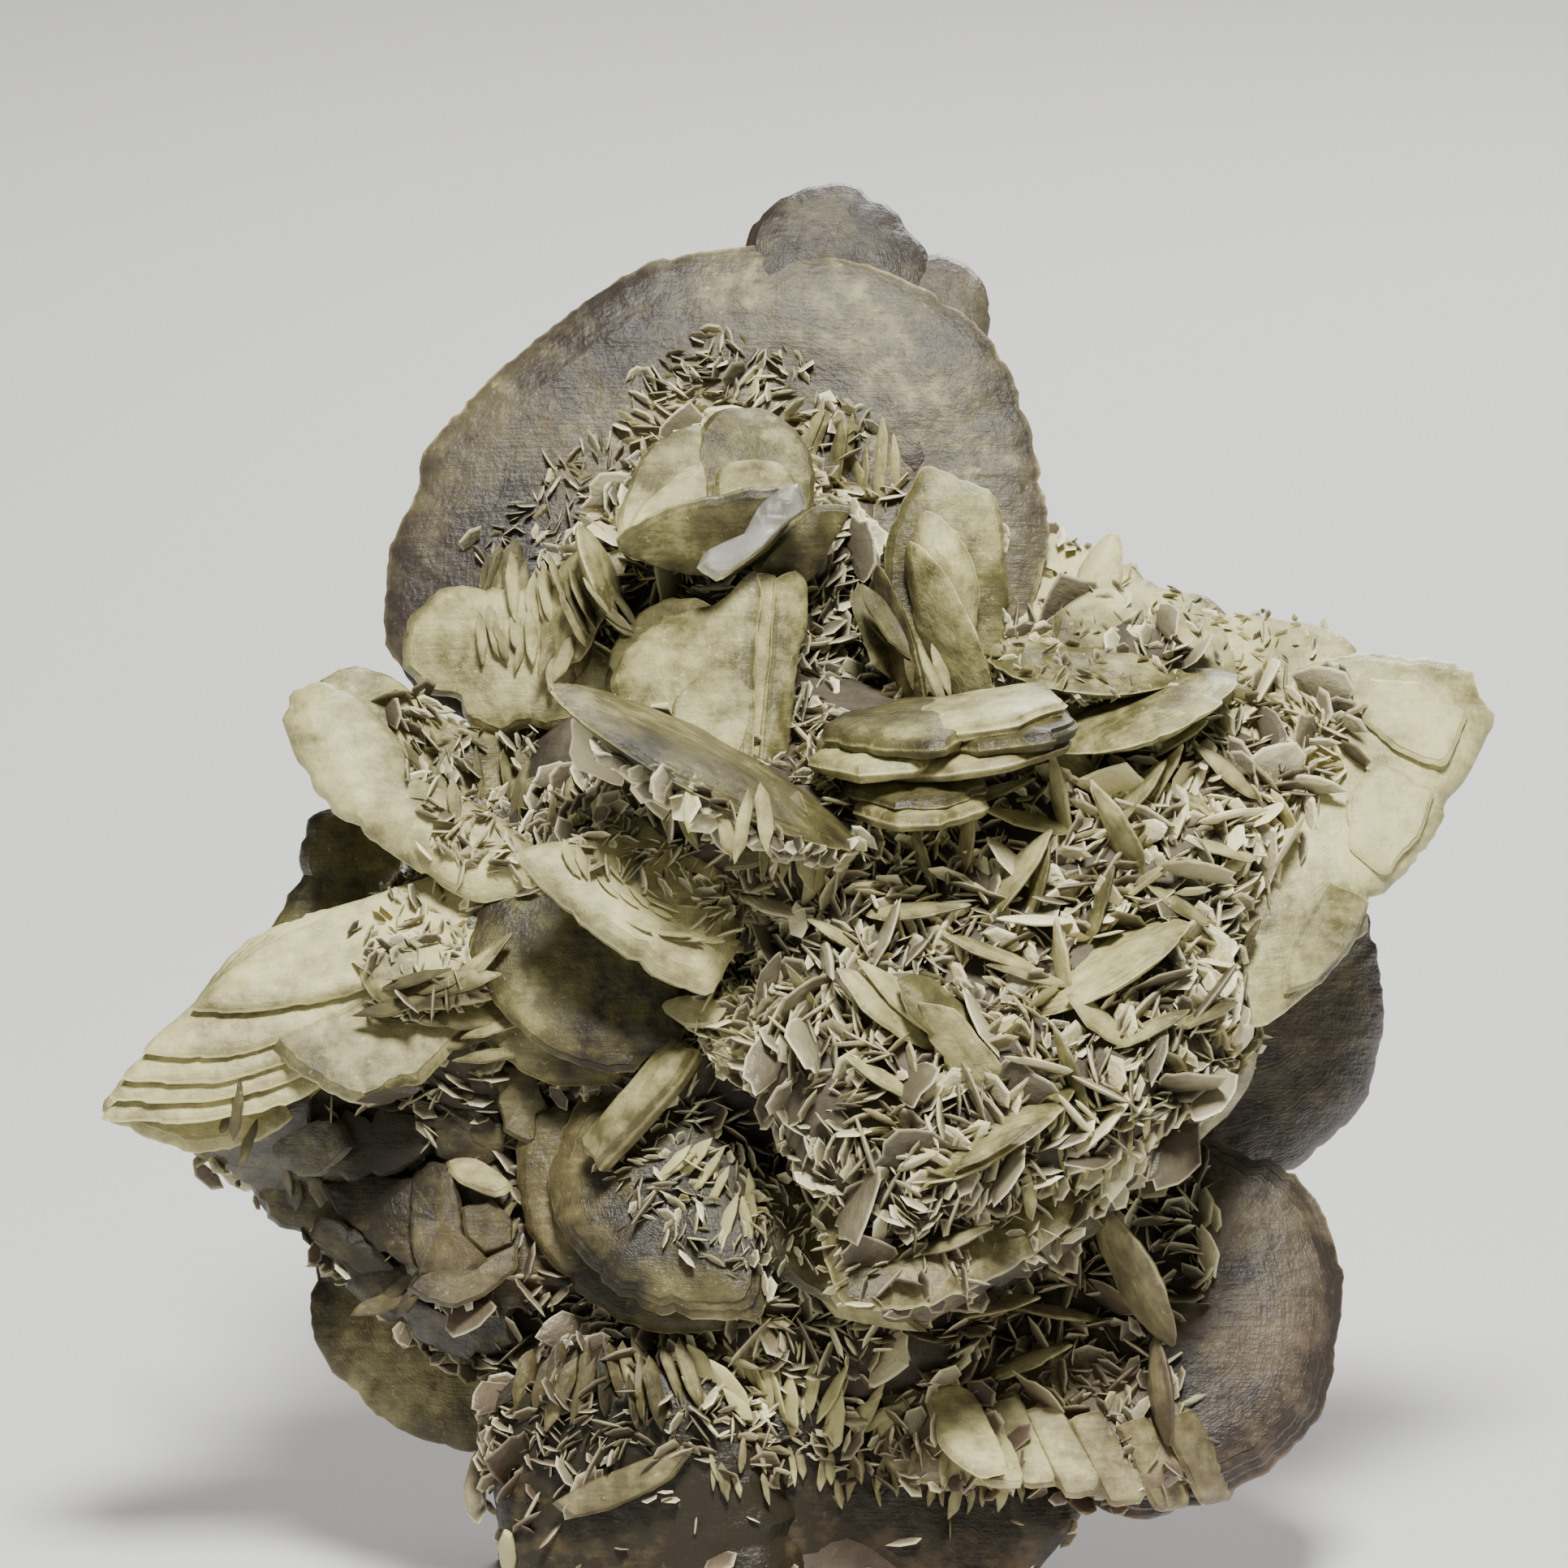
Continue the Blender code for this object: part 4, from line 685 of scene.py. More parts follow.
crustBed = {
    "longestEdge": 4.0,   # of the bed's triangles
    "reachOut": 4.5,      # how far outside the solid a blade's surface is looked for, and how far inside
    "reachIn": 5.0,
    "bareBelow": 9.0,     # height on the face below which little grows, and how much
    "bareShare": 0.12,
    "length": 4.5,        # of a crystal, where no zone says
}
lumpCrust = {"small": 1.0, "medium": 0.7, "fine": 0.7, "length": 4.4}
crustZones = [   # blades, outline on the face, and how much of each size grows there
    (("crown",), [(-39, 124), (-36, 129), (-30, 134), (-22, 142), (-16, 149), (-8, 152), (2, 149), (8, 143),
                  (15, 137), (17, 130), (14, 108), (0, 102), (-20, 102), (-38, 106)],
     {"small": 0.9, "medium": 0.0, "fine": 1.0, "length": 3.3}),
    (("ridgeBack", "ridgeEnd", "ridgeFront", "ridgeStep", "ridgeLedge", "tower"),
     [(24, 98), (27, 130), (44, 124), (54, 121), (60, 118), (69, 115), (70, 108), (58, 100), (40, 96)],
     {"small": 0.13, "medium": 0.03, "fine": 0.55, "length": 3.2}),
    (("wingRight", "bedRight"),
     [(71, 107), (69, 98.5), (66, 95), (62.5, 90), (59.5, 87), (57.4, 82.8), (56.4, 80), (55.5, 71), (55, 64),
      (50, 54), (32, 42), (14, 34), (0, 44), (-8, 56), (-12, 64), (-8, 74), (0, 78), (2, 93), (26, 95),
      (38, 100), (54, 108), (68, 111)],
     {"small": 1.0, "medium": 1.0, "fine": 0.6, "length": 5.0}),
    (("bladeLeft", "bladeLeftRear"),
     [(-49, 106), (-47, 100), (-45, 94), (-42, 88), (-30, 82), (-26, 100), (-42, 109)],
     {"small": 0.8, "medium": 0.2, "fine": 0.7, "length": 3.8}),
    (("wingLeftStep0", "wingLeftStep1", "stepKnuckleUpper"),
     [(-52, 79), (-50, 72), (-44, 66), (-28, 70), (-26, 90), (-36, 88)],
     {"small": 0.4, "medium": 0.2, "fine": 0.8, "length": 3.6}),
    (("lip",), [(-27, 89), (-18, 84.5), (-11, 80.5), (-6, 75), (-3, 80), (-6, 93), (-20, 95)],
     {"small": 0.9, "medium": 0.1, "fine": 1.0, "length": 3.4}),
    (("chipCream",), [(-12, 76), (8, 78), (10, 58), (-10, 58)],
     {"small": 0.9, "medium": 0.2, "fine": 1.0, "length": 3.4}),
    (("keel", "keelUnder", "shardRight"),
     [(-22, 52), (-14, 56), (-4, 56), (6, 46), (4, 37), (-5, 36), (-12, 38.5), (-18, 43)],
     {"small": 1.0, "medium": 0.1, "fine": 1.0, "length": 2.9}),
    (("rimRight",), [(20, 36), (30, 44), (44, 54), (54, 62), (58, 66), (56, 74), (8, 50)],
     {"small": 0.8, "medium": 0.3, "fine": 0.8, "length": 3.8}),
    (("petalRightLow", "petalRightLowFront"),
     [(18, 38), (36, 46), (50, 52), (53, 44), (51, 34), (47, 25), (38, 17), (26, 15), (16, 20)],
     {"small": 0.8, "medium": 0.7, "fine": 0.5, "length": 4.8}),
    (("footLeft", "footRight", "elbow"),
     [(-36, 36), (36, 36), (36, 13), (14, 11), (-6, 15), (-18, 14), (-36, 12)],
     {"small": 1.0, "medium": 0.4, "fine": 1.0, "length": 3.6}),
]
hiddenCrust = {   # what grows where the viewer doesn't see it
    "crown": {"small": 0.6, "medium": 0.3, "fine": 0.2, "length": 4.4},
    "footRear": {"small": 0.45, "medium": 0.4, "fine": 0.1, "length": 4.4},
    "tongue": {"small": 1.0, "medium": 0.6, "fine": 0.4, "length": 5.0},
}
crustPaintedLightAndShade = [   # x, z, spread and change in brightness: painted shade where the crust lies in shadow, painted light where it is lit
    (-45, 48, 24, -1.1), (-23, 22, 14, -1.5), (25, 40, 14, -0.5), (-6, 45, 7, 1.2), (-22, 78, 10, -0.3),
    (2, 21, 10, 2.6), (54, 88, 24, 1.1), (28, 74, 22, 0.75), (-10, 140, 18, 0.5), (8, 112, 11, -0.6),
    (-2, 56, 7, -1.6), (-10, 75, 9, 0.5), (14, 99, 9, -0.6)]
bareSpots = [   # x, z, spread, how bare
    (-2.6, 56.2, 6.0, 1.0), (26, 38, 5, 0.8), (50, 56, 4.5, 0.8), (-52, 46, 15, 0.9), (-44, 38, 9, 0.8),
    (-62, 50, 9, 0.8), (0, -2, 14, 0.5)]
openWays = [Vector(way).normalized() for way in (
    (0, -1, 0), (0, -1, 0.8), (0, -1, -0.8), (0.8, -1, 0), (-0.8, -1, 0), (0, 0, 1), (0.9, 0, 0.4),
    (-0.9, 0, 0.4), (0, 1, 0.3), (0.7, 1, 0), (-0.7, 1, 0))]


def within(outline, x, z):
    inside = False
    for (xa, za), (xb, zb) in zip(outline, outline[1:] + outline[:1]):
        if (za > z) != (zb > z) and x < (xb - xa) * (z - za) / (zb - za) + xa:
            inside = not inside
    return inside


def nearby(point, x, z, spread):
    return math.exp(-((point.x - x) ** 2 + (point.z - z) ** 2) / spread ** 2)


def whatGrows(owner, spot, normal):
    # how much of each size of crystal stands on this spot of a blade or a lump
    name, share = owner["name"], owner["crust"]
    if name.endswith("Mass"):
        return {key: value * (share if key != "length" else 1) for key, value in lumpCrust.items()}
    if name == "tongue" and normal.z < -0.2 and spot.x > -22:
        return hiddenCrust[name]
    if name == "footRear" and normal.y > 0.2 and spot.z > 16 + 5 * math.sin(spot.x * 0.25):
        return hiddenCrust[name]
    if name == "crown" and normal.y > 0.35 and spot.z < 116 + 4 * math.sin(spot.x * 0.3):
        return hiddenCrust[name]
    if normal.y < 0.4 and bladeTree.ray_cast(spot + normal * 0.5, Vector((0, -1, 0)))[0] is None:
        for names, outline, found in crustZones:
            if name in names and within(outline, spot.x, spot.z):
                return found
    return {"small": share, "medium": share * 0.6, "fine": share * 0.5, "length": crustBed["length"]}


allBlades = [blade for blades in cluster.pieces.values() for blade in blades]
surfacePoints, surfaceFaces, surfaceOwners, _ = joinedSurface(allBlades)
bladeTree = BVHTree.FromPolygons([Vector(p) for p in surfacePoints], surfaceFaces)

skin = bmesh.new()
skin.from_mesh(frame["nodes"]["crystal_rosette"].data)
bmesh.ops.remove_doubles(skin, verts=skin.verts, dist=1e-6)
skin.transform(rowToFace)
for _ in range(6):
    tooLong = [edge for edge in skin.edges if edge.calc_length() > crustBed["longestEdge"]]
    bmesh.ops.subdivide_edges(skin, edges=tooLong, cuts=1)
    bmesh.ops.triangulate(skin, faces=[f for f in skin.faces if len(f.verts) > 3])
skin.normal_update()
skinTree = BVHTree.FromBMesh(skin)

layers = {name: skin.verts.layers.float.new(name) for name in ("small", "medium", "fine", "length", "open")}
moved = []
for vertex in skin.verts:
    normal = vertex.normal.copy()
    free = skinTree.ray_cast(vertex.co + normal * 0.2, normal, 12)[3]
    lift = min(crustBed["reachOut"], 0.45 * free) if free is not None else crustBed["reachOut"]
    hit, _, index, _ = bladeTree.ray_cast(vertex.co + normal * lift, -normal, lift + crustBed["reachIn"])
    if hit is not None:
        grows = whatGrows(surfaceOwners[index], hit, normal)
    else:
        hit = bladeTree.find_nearest(vertex.co)[0]
        grows = {"small": 0.0, "medium": 0.0, "fine": 0.0, "length": crustBed["length"]}
    moved.append((vertex, hit))
    cover = crustBed["bareShare"] if vertex.co.z < crustBed["bareBelow"] else 1.0
    for x, z, spread, bare in bareSpots:
        cover *= 1 - bare * nearby(vertex.co, x, z, spread)
    for key in ("small", "medium", "fine"):
        vertex[layers[key]] = grows[key] * cover
    vertex[layers["length"]] = grows["length"] * 0.001
    # painted shade: the fewer ways out of a hollow that are open, the darker the crust there
    start = vertex.co + normal * 1.5
    clear = [way for way in openWays if skinTree.ray_cast(start, way, 60)[0] is None]
    # painted light and shade: the crust is lit up or darkened where the table of its painted light and shade
    # says
    paintedBrightness = 1.0
    for x, z, spread, change in crustPaintedLightAndShade:
        paintedBrightness += change * nearby(vertex.co, x, z, spread)
    vertex[layers["open"]] = min(1, len(clear) / 5) + max(-1.6, paintedBrightness - 1)
for vertex, spot in moved:
    vertex.co = spot
print("crust bed points:", len(skin.verts))


# Materials: the stone's cream clouds and clear grey zones, its growth lines and its iron stain.

gypsumLooks = {
    "bladeGypsum": {"clear": (0.130, 0.115, 0.042), "cloud": (0.61, 0.56, 0.262),
                    "brown": (0.115, 0.072, 0.042), "deep": (0.028, 0.022, 0.012),
                    "transmission": 0.06, "roughness": 0.34},
    "clearGypsum": {"clear": (0.120, 0.101, 0.054), "cloud": (0.50, 0.44, 0.21),
                    "brown": (0.14, 0.087, 0.058), "deep": (0.035, 0.027, 0.019),
                    "transmission": 0.10, "roughness": 0.38},
    "crustGypsum": {"clear": (0.155, 0.135, 0.082), "cloud": (0.83, 0.765, 0.455),
                    "brown": (0.14, 0.084, 0.056), "deep": (0.028, 0.020, 0.013),
                    "transmission": 0.10, "roughness": 0.38},
    "glassGypsum": {"clear": (0.50, 0.48, 0.40), "cloud": (0.80, 0.77, 0.64),
                    "brown": (0.3, 0.22, 0.16), "deep": (0.1, 0.1, 0.1),
                    "transmission": 0.85, "roughness": 0.07},
    "heartGypsum": {"clear": (0.05, 0.041, 0.027), "cloud": (0.12, 0.10, 0.064),
                    "brown": (0.055, 0.034, 0.023), "deep": (0.020, 0.015, 0.010),
                    "transmission": 0.0, "roughness": 0.7},
}
gypsumSurface = {
    "ior": 1.52,
    "shine": 0.24,           # specular level of the stone, and of the one clear blade
    "clearShine": 0.5,
    "bump": 0.55,
    "bumpDepth": 0.0005,     # metres
}
gypsumGrain = {   # scale and detail of a noise, the range of it that counts, and what that range does
    "clouds": (52, 8, 0.36, 0.64, -0.44, 0.46),
    "mottle": (330, 7, 0.34, 0.66, -0.24, 0.24),
    "crumbs": (900, 2, 0.66, 0.72, 0.0, 0.35),
    "patches": (26, 4, 0.35, 0.62, 0.15, 1.0),
    "spots": (120, 2, 0.70, 0.78, 0.0, 0.6),
}


def makeGypsum(name):
    look = gypsumLooks[name]
    material = bpy.data.materials.new(name)
    material.use_nodes = True
    nodes, links = material.node_tree.nodes, material.node_tree.links
    shader = nodes["Principled BSDF"]
    shader.inputs["Transmission Weight"].default_value = look["transmission"]
    shader.inputs["IOR"].default_value = gypsumSurface["ior"]
    shine = gypsumSurface["clearShine" if look["transmission"] > 0.5 else "shine"]
    shader.inputs["Specular IOR Level"].default_value = shine
    shader.inputs["Roughness"].default_value = look["roughness"]

    def maths(operation, a, b):
        node = nodes.new("ShaderNodeMath")
        node.operation = operation
        for end, value in enumerate((a, b)):
            if isinstance(value, (int, float)):
                node.inputs[end].default_value = value
            else:
                links.new(value, node.inputs[end])
        return node.outputs[0]

    def ramp(value, low, high, outLow, outHigh):
        node = nodes.new("ShaderNodeMapRange")
        for label, end in (("From Min", low), ("From Max", high), ("To Min", outLow), ("To Max", outHigh)):
            node.inputs[label].default_value = end
        links.new(value, node.inputs["Value"])
        return node.outputs["Result"]

    def speckle(where, scale, detail, stretch=None):
        if stretch:
            node = nodes.new("ShaderNodeMapping")
            node.inputs["Scale"].default_value = stretch
            links.new(where, node.inputs["Vector"])
            where = node.outputs["Vector"]
        node = nodes.new("ShaderNodeTexNoise")
        node.inputs["Scale"].default_value = scale
        node.inputs["Detail"].default_value = detail
        node.inputs["Roughness"].default_value = 0.6
        links.new(where, node.inputs["Vector"])
        return node.outputs["Fac"]

    def attribute(label, output="Fac"):
        node = nodes.new("ShaderNodeAttribute")
        node.attribute_name = label
        return node.outputs[output]

    def blend(amount, a, b):
        node = nodes.new("ShaderNodeMix")
        node.data_type = "RGBA"
        links.new(amount, node.inputs["Factor"])
        for label, value in (("A", a), ("B", b)):
            if isinstance(value, tuple):
                node.inputs[label].default_value = (*value, 1)
            else:
                links.new(value, node.inputs[label])
        return node.outputs["Result"]

    place = nodes.new("ShaderNodeTexCoord").outputs["Object"]

    def grained(label):
        scale, detail, *span = gypsumGrain[label]
        return ramp(speckle(place, scale, detail), *span)

    tone = attribute("tone")
    if name == "crustGypsum":
        # frosted edges round clearer faces, and painted shade that darkens each crystal towards its root
        lines = speckle(place, 700, 3)
        frost = maths("MULTIPLY", maths("POWER", attribute("edge"), 1.2), 0.75)
        amount = maths("ADD", maths("MULTIPLY", tone, 0.95), maths("MULTIPLY", speckle(place, 160, 4), 0.6))
        amount = maths("ADD", maths("SUBTRACT", amount, 0.56), frost)
        amount = maths("ADD", amount, ramp(attribute("tip"), 0.0, 0.8, -0.34, 0.06))
    else:
        along = attribute("along", "Vector")
        reach = attribute("reach")
        clouds, mottle = grained("clouds"), grained("mottle")
        wisps = ramp(speckle(along, 1.0, 3, (0.16, 1.1, 1)), 0.36, 0.64, -0.06, 0.08)
        crumbs = grained("crumbs")
        rimClear = ramp(reach, 0.80, 0.95, 0.0, 0.16)
        rimFrost = ramp(reach, 0.984, 0.999, 0.0, 0.55)
        amount = maths("ADD", maths("ADD", tone, clouds), maths("ADD", maths("ADD", mottle, crumbs), wisps))
        amount = maths("ADD", maths("SUBTRACT", amount, rimClear), rimFrost)
        striae = speckle(along, 1.0, 3, (0.08, 2.6, 1))
        rings = nodes.new("ShaderNodeTexNoise")
        rings.noise_dimensions = "1D"
        rings.inputs["Scale"].default_value = 60
        rings.inputs["Detail"].default_value = 2
        links.new(maths("ADD", reach, maths("MULTIPLY", speckle(place, 30, 2), 0.06)), rings.inputs["W"])
        lines = maths("ADD", maths("MULTIPLY", striae, 0.28), maths("MULTIPLY", rings.outputs["Fac"], 0.2))
        lines = maths("ADD", lines, maths("MULTIPLY", speckle(place, 260, 8), 2.2))
    colour = blend(amount, look["clear"], look["cloud"])
    # brown towards the foot and in small spots, less of it where the stone is creamier
    split = nodes.new("ShaderNodeSeparateXYZ")
    links.new(place, split.inputs["Vector"])
    low = ramp(split.outputs["Z"], 0.080, 0.012, 0.0, 0.9)
    browning = maths("MAXIMUM", maths("MULTIPLY", low, grained("patches")), grained("spots"))
    browning = maths("MULTIPLY", browning, ramp(amount, 0.25, 1.1, 1.0, 0.12))
    colour = blend(browning, colour, look["brown"])
    # the clearest parts show the dark inside, and the same dark is painted shade where a tone is pushed far
    # down, as in the deep hollow
    colour = blend(ramp(amount, 0.05, -0.65, 0.0, 1.0), colour, look["deep"])
    links.new(colour, shader.inputs["Base Color"])
    grain = speckle(place, 1500, 2)
    bump = nodes.new("ShaderNodeBump")
    bump.inputs["Strength"].default_value = gypsumSurface["bump"]
    bump.inputs["Distance"].default_value = gypsumSurface["bumpDepth"]
    links.new(maths("ADD", lines, maths("MULTIPLY", grain, 0.35)), bump.inputs["Height"])
    links.new(bump.outputs["Normal"], shader.inputs["Normal"])
    return material


gypsum = {name: makeGypsum(name) for name in gypsumLooks}
print("materials made:", len(gypsum))


# The pieces, from the blades.

def addMarks(mesh, marks):
    mesh.attributes.new("along", "FLOAT_VECTOR", "POINT").data.foreach_set(
        "vector", np.column_stack([marks[:, :2], np.zeros(len(marks))]).ravel())
    mesh.attributes.new("reach", "FLOAT", "POINT").data.foreach_set("value", marks[:, 2].copy())
    mesh.attributes.new("tone", "FLOAT", "POINT").data.foreach_set("value", marks[:, 3].copy())


def trimBelow(mesh):
    # cuts a mesh off flat at the base and closes the cut
    work = bmesh.new()
    work.from_mesh(mesh)
    cut = bmesh.ops.bisect_plane(work, geom=work.verts[:] + work.edges[:] + work.faces[:], plane_co=(0, 0, 0),
                                 plane_no=(0, 0, -1), clear_outer=True)
    openEdges = [part for part in cut["geom_cut"] if isinstance(part, bmesh.types.BMEdge)]
    if openEdges:
        bmesh.ops.edgenet_fill(work, edges=openEdges)
    bmesh.ops.recalc_face_normals(work, faces=work.faces)
    work.to_mesh(mesh)
    work.free()


def triangleCount(mesh):
    return sum(len(polygon.vertices) - 2 for polygon in mesh.polygons)


def showPiece(name, mesh, material):
    piece = bpy.data.objects.new(name, mesh)
    bpy.context.scene.collection.objects.link(piece)
    mesh.materials.clear()
    mesh.materials.append(material)
    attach(piece, "root")
    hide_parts("crystal_rosette")
    print(name, "triangles:", triangleCount(mesh))


pieceFinish = {
    "crownBlades": "clearGypsum", "nestBlades": "bladeGypsum", "ridgeBlades": "bladeGypsum",
    "wingRight": "bladeGypsum", "bedRight": "heartGypsum", "bladesLeft": "bladeGypsum",
    "frontBlades": "bladeGypsum", "lowerBlades": "bladeGypsum", "lowerRightBlades": "clearGypsum",
    "footBlades": "bladeGypsum", "backBlades": "bladeGypsum", "heart": "heartGypsum",
    "bedBlades": "bladeGypsum", "sheafBlades": "bladeGypsum", "seatedPlates": "bladeGypsum",
    "nestGlass": "glassGypsum",
}
for pieceName, blades in cluster.pieces.items():
    points, faces, _, marks = joinedSurface(blades)
    mesh = bpy.data.meshes.new(pieceName)
    mesh.from_pydata(inRow(points).tolist(), [], faces)
    addMarks(mesh, marks)
    if min(vertex.co.z for vertex in mesh.vertices) < 0:
        trimBelow(mesh)
    mesh.shade_smooth()
    mesh.set_sharp_from_angle(angle=math.radians(30))
    showPiece(pieceName, mesh, gypsum[pieceFinish[pieceName]])


# The crust: lens crystals that stand on edge in the bed, in three sizes.

crust = {
    "tilt": 0.48,             # radians either way
    "flow": (75, 16.0),       # scale of the field that turns neighbours together, and how far it turns them
    "tones": (-0.10, 1.08),   # from the clearest crystal to the creamiest
    "baseGap": 0.0003,        # a crystal that reaches lower than this is left out
    "small": {"spacing": 0.00118, "density": 980000, "smallest": 0.5, "largest": 1.3, "seed": 7,
              "corners": 6, "rings": 1},
    "medium": {"spacing": 0.0040, "density": 76000, "smallest": 1.3, "largest": 2.3, "seed": 19,
               "corners": 14, "rings": 2},
    "fine": {"spacing": 0.0009, "density": 800000, "smallest": 0.4, "largest": 0.9, "seed": 31,
             "corners": 5, "rings": 0},
    "shapes": [   # width and thickness by the length, and how far the crystal stands out of the bed
        (0.56, 0.085, 0.16), (0.42, 0.10, 0.24), (0.70, 0.075, 0.12), (0.34, 0.11, 0.20),
        (0.60, 0.08, 0.28), (0.50, 0.07, 0.30), (0.84, 0.07, 0.20), (0.46, 0.09, 0.10)],
}


def makeCrystal(name, corners, rings, width, thick, proud):
    # one jagged tablet, a unit long, on edge; its rings lead in to a flat on each side, or to a tip
    rim = lensCurve(1.0, width, corners, 1.5)
    rim[:, 1] *= np.where(rim[:, 1] > 0, 1.2, 0.7)
    rim *= 1 + np.random.default_rng(int(1000 * (width + proud)) + corners).uniform(-0.20, 0.14, (corners, 2))
    points = [np.column_stack([rim[:, 0], np.zeros(corners), rim[:, 1] + proud])]
    faces = []
    total = corners
    for side in (1, -1):
        inner = list(range(corners))
        for share, rise in {0: (), 1: ((0.70, 1.0),), 2: ((0.88, 0.6), (0.62, 1.0))}[rings]:
            high = np.full(corners, side * thick * 0.5 * rise)
            points.append(np.column_stack([rim[:, 0] * share, high, rim[:, 1] * share + proud]))
            outer = list(range(total, total + corners))
            total += corners
            quads = [(inner[i], inner[(i + 1) % corners], outer[(i + 1) % corners], outer[i])
                     for i in range(corners)]
            faces += [quad[::-1] for quad in quads] if side == 1 else quads
            inner = outer
        if rings:
            faces.append(inner[::-1] if side == 1 else inner)
        else:
            points.append(np.array([[0, side * thick * 0.5, proud]]))
            tips = [(inner[i], inner[(i + 1) % corners], total) for i in range(corners)]
            total += 1
            faces += [tip[::-1] for tip in tips] if side == 1 else tips
    mesh = bpy.data.meshes.new(name)
    mesh.from_pydata(np.vstack(points).tolist(), [], faces)
    tip = np.clip((np.vstack(points)[:, 2] + 0.05) / (width * 0.6 + proud), 0, 1)
    edge = np.where(np.arange(total) < corners, 1.0, 0.0)
    for label, values in (("tip", tip), ("edge", edge)):
        mesh.attributes.new(label, "FLOAT", "POINT").data.foreach_set("value", values)
    return bpy.data.objects.new(name, mesh)


def crustTree(size, crystals, material):
    tree = bpy.data.node_groups.new(f"{size}CrystalGrowth", "GeometryNodeTree")
    tree.interface.new_socket("Bed", in_out="INPUT", socket_type="NodeSocketGeometry")
    sockets = {}
    for label, kind in (("Spacing", "Float"), ("Density", "Float"), ("Smallest", "Float"),
                        ("Largest", "Float"), ("Tilt", "Float"), ("Seed", "Int")):
        socket = tree.interface.new_socket(label, in_out="INPUT", socket_type=f"NodeSocket{kind}")
        sockets[label] = socket.identifier
    tree.interface.new_socket("Crystals", in_out="OUTPUT", socket_type="NodeSocketGeometry")
    nodes, links = tree.nodes, tree.links
    given, result = nodes.new("NodeGroupInput"), nodes.new("NodeGroupOutput")

    def fill(socket, value):
        if isinstance(value, (int, float, str)):
            socket.default_value = value
        else:
            links.new(value, socket)

    def named(label):
        node = nodes.new("GeometryNodeInputNamedAttribute")
        node.data_type = "FLOAT"
        node.inputs["Name"].default_value = label
        return node.outputs["Attribute"]

    def chance(low, high, seed, kind="FLOAT"):
        node = nodes.new("FunctionNodeRandomValue")
        node.data_type = kind
        lowEnd, highEnd, out = {"FLOAT": (2, 3, 1), "INT": (4, 5, 2)}[kind]
        fill(node.inputs[lowEnd], low)
        fill(node.inputs[highEnd], high)
        node.inputs["Seed"].default_value = seed
        return node.outputs[out]

    def maths(operation, a, b):
        node = nodes.new("ShaderNodeMath")
        node.operation = operation
        fill(node.inputs[0], a)
        fill(node.inputs[1], b)
        return node.outputs[0]

    scatter = nodes.new("GeometryNodeDistributePointsOnFaces")
    scatter.distribute_method = "POISSON"
    for label, value in (("Mesh", given.outputs["Bed"]), ("Distance Min", given.outputs["Spacing"]),
                         ("Density Max", given.outputs["Density"]), ("Density Factor", named("crust")),
                         ("Seed", given.outputs["Seed"])):
        links.new(value, scatter.inputs[label])
    # neighbouring crystals turn together, as in sheaves
    flow = nodes.new("ShaderNodeTexNoise")
    flow.inputs["Scale"].default_value = crust["flow"][0]
    flow.inputs["Detail"].default_value = 1
    turn = nodes.new("ShaderNodeCombineXYZ")
    links.new(maths("MULTIPLY", chance(-1.4, 1.4, 4), given.outputs["Tilt"]), turn.inputs["X"])
    links.new(maths("MULTIPLY", chance(-1.2, 1.2, 5), given.outputs["Tilt"]), turn.inputs["Y"])
    links.new(maths("ADD", maths("MULTIPLY", flow.outputs["Fac"], crust["flow"][1]), chance(-0.7, 0.7, 3)),
              turn.inputs["Z"])
    asTurn = nodes.new("FunctionNodeEulerToRotation")
    links.new(turn.outputs[0], asTurn.inputs[0])
    rotate = nodes.new("FunctionNodeRotateRotation")
    rotate.rotation_space = "LOCAL"
    links.new(scatter.outputs["Rotation"], rotate.inputs["Rotation"])
    links.new(asTurn.outputs[0], rotate.inputs["Rotate By"])
    gather = nodes.new("GeometryNodeCollectionInfo")
    gather.inputs["Collection"].default_value = crystals
    gather.inputs["Separate Children"].default_value = True
    gather.inputs["Reset Children"].default_value = True
    place = nodes.new("GeometryNodeInstanceOnPoints")
    place.inputs["Pick Instance"].default_value = True
    which = chance(0, len(crust["shapes"]) - 1, 6, "INT")
    scale = maths("MULTIPLY", named("length"), chance(given.outputs["Smallest"], given.outputs["Largest"], 8))
    for label, value in (("Points", scatter.outputs["Points"]), ("Instance", gather.outputs["Instances"]),
                         ("Instance Index", which), ("Rotation", rotate.outputs["Rotation"]),
                         ("Scale", scale)):
        links.new(value, place.inputs[label])
    tone = nodes.new("GeometryNodeStoreNamedAttribute")
    tone.data_type, tone.domain = "FLOAT", "INSTANCE"
    tone.inputs["Name"].default_value = "tone"
    links.new(place.outputs["Instances"], tone.inputs["Geometry"])
    # painted shade, darker in the hollows than where the bed is open, and the crust's painted light and shade
    paintedShadeAndLight = maths("ADD", maths("MULTIPLY", named("open"), 0.5), 0.5)
    links.new(maths("MULTIPLY", chance(*crust["tones"], 9), paintedShadeAndLight), tone.inputs["Value"])
    realize = nodes.new("GeometryNodeRealizeInstances")
    links.new(tone.outputs["Geometry"], realize.inputs["Geometry"])
    coat = nodes.new("GeometryNodeSetMaterial")
    coat.inputs["Material"].default_value = material
    links.new(realize.outputs["Geometry"], coat.inputs["Geometry"])
    links.new(coat.outputs["Geometry"], result.inputs["Crystals"])
    return tree, sockets


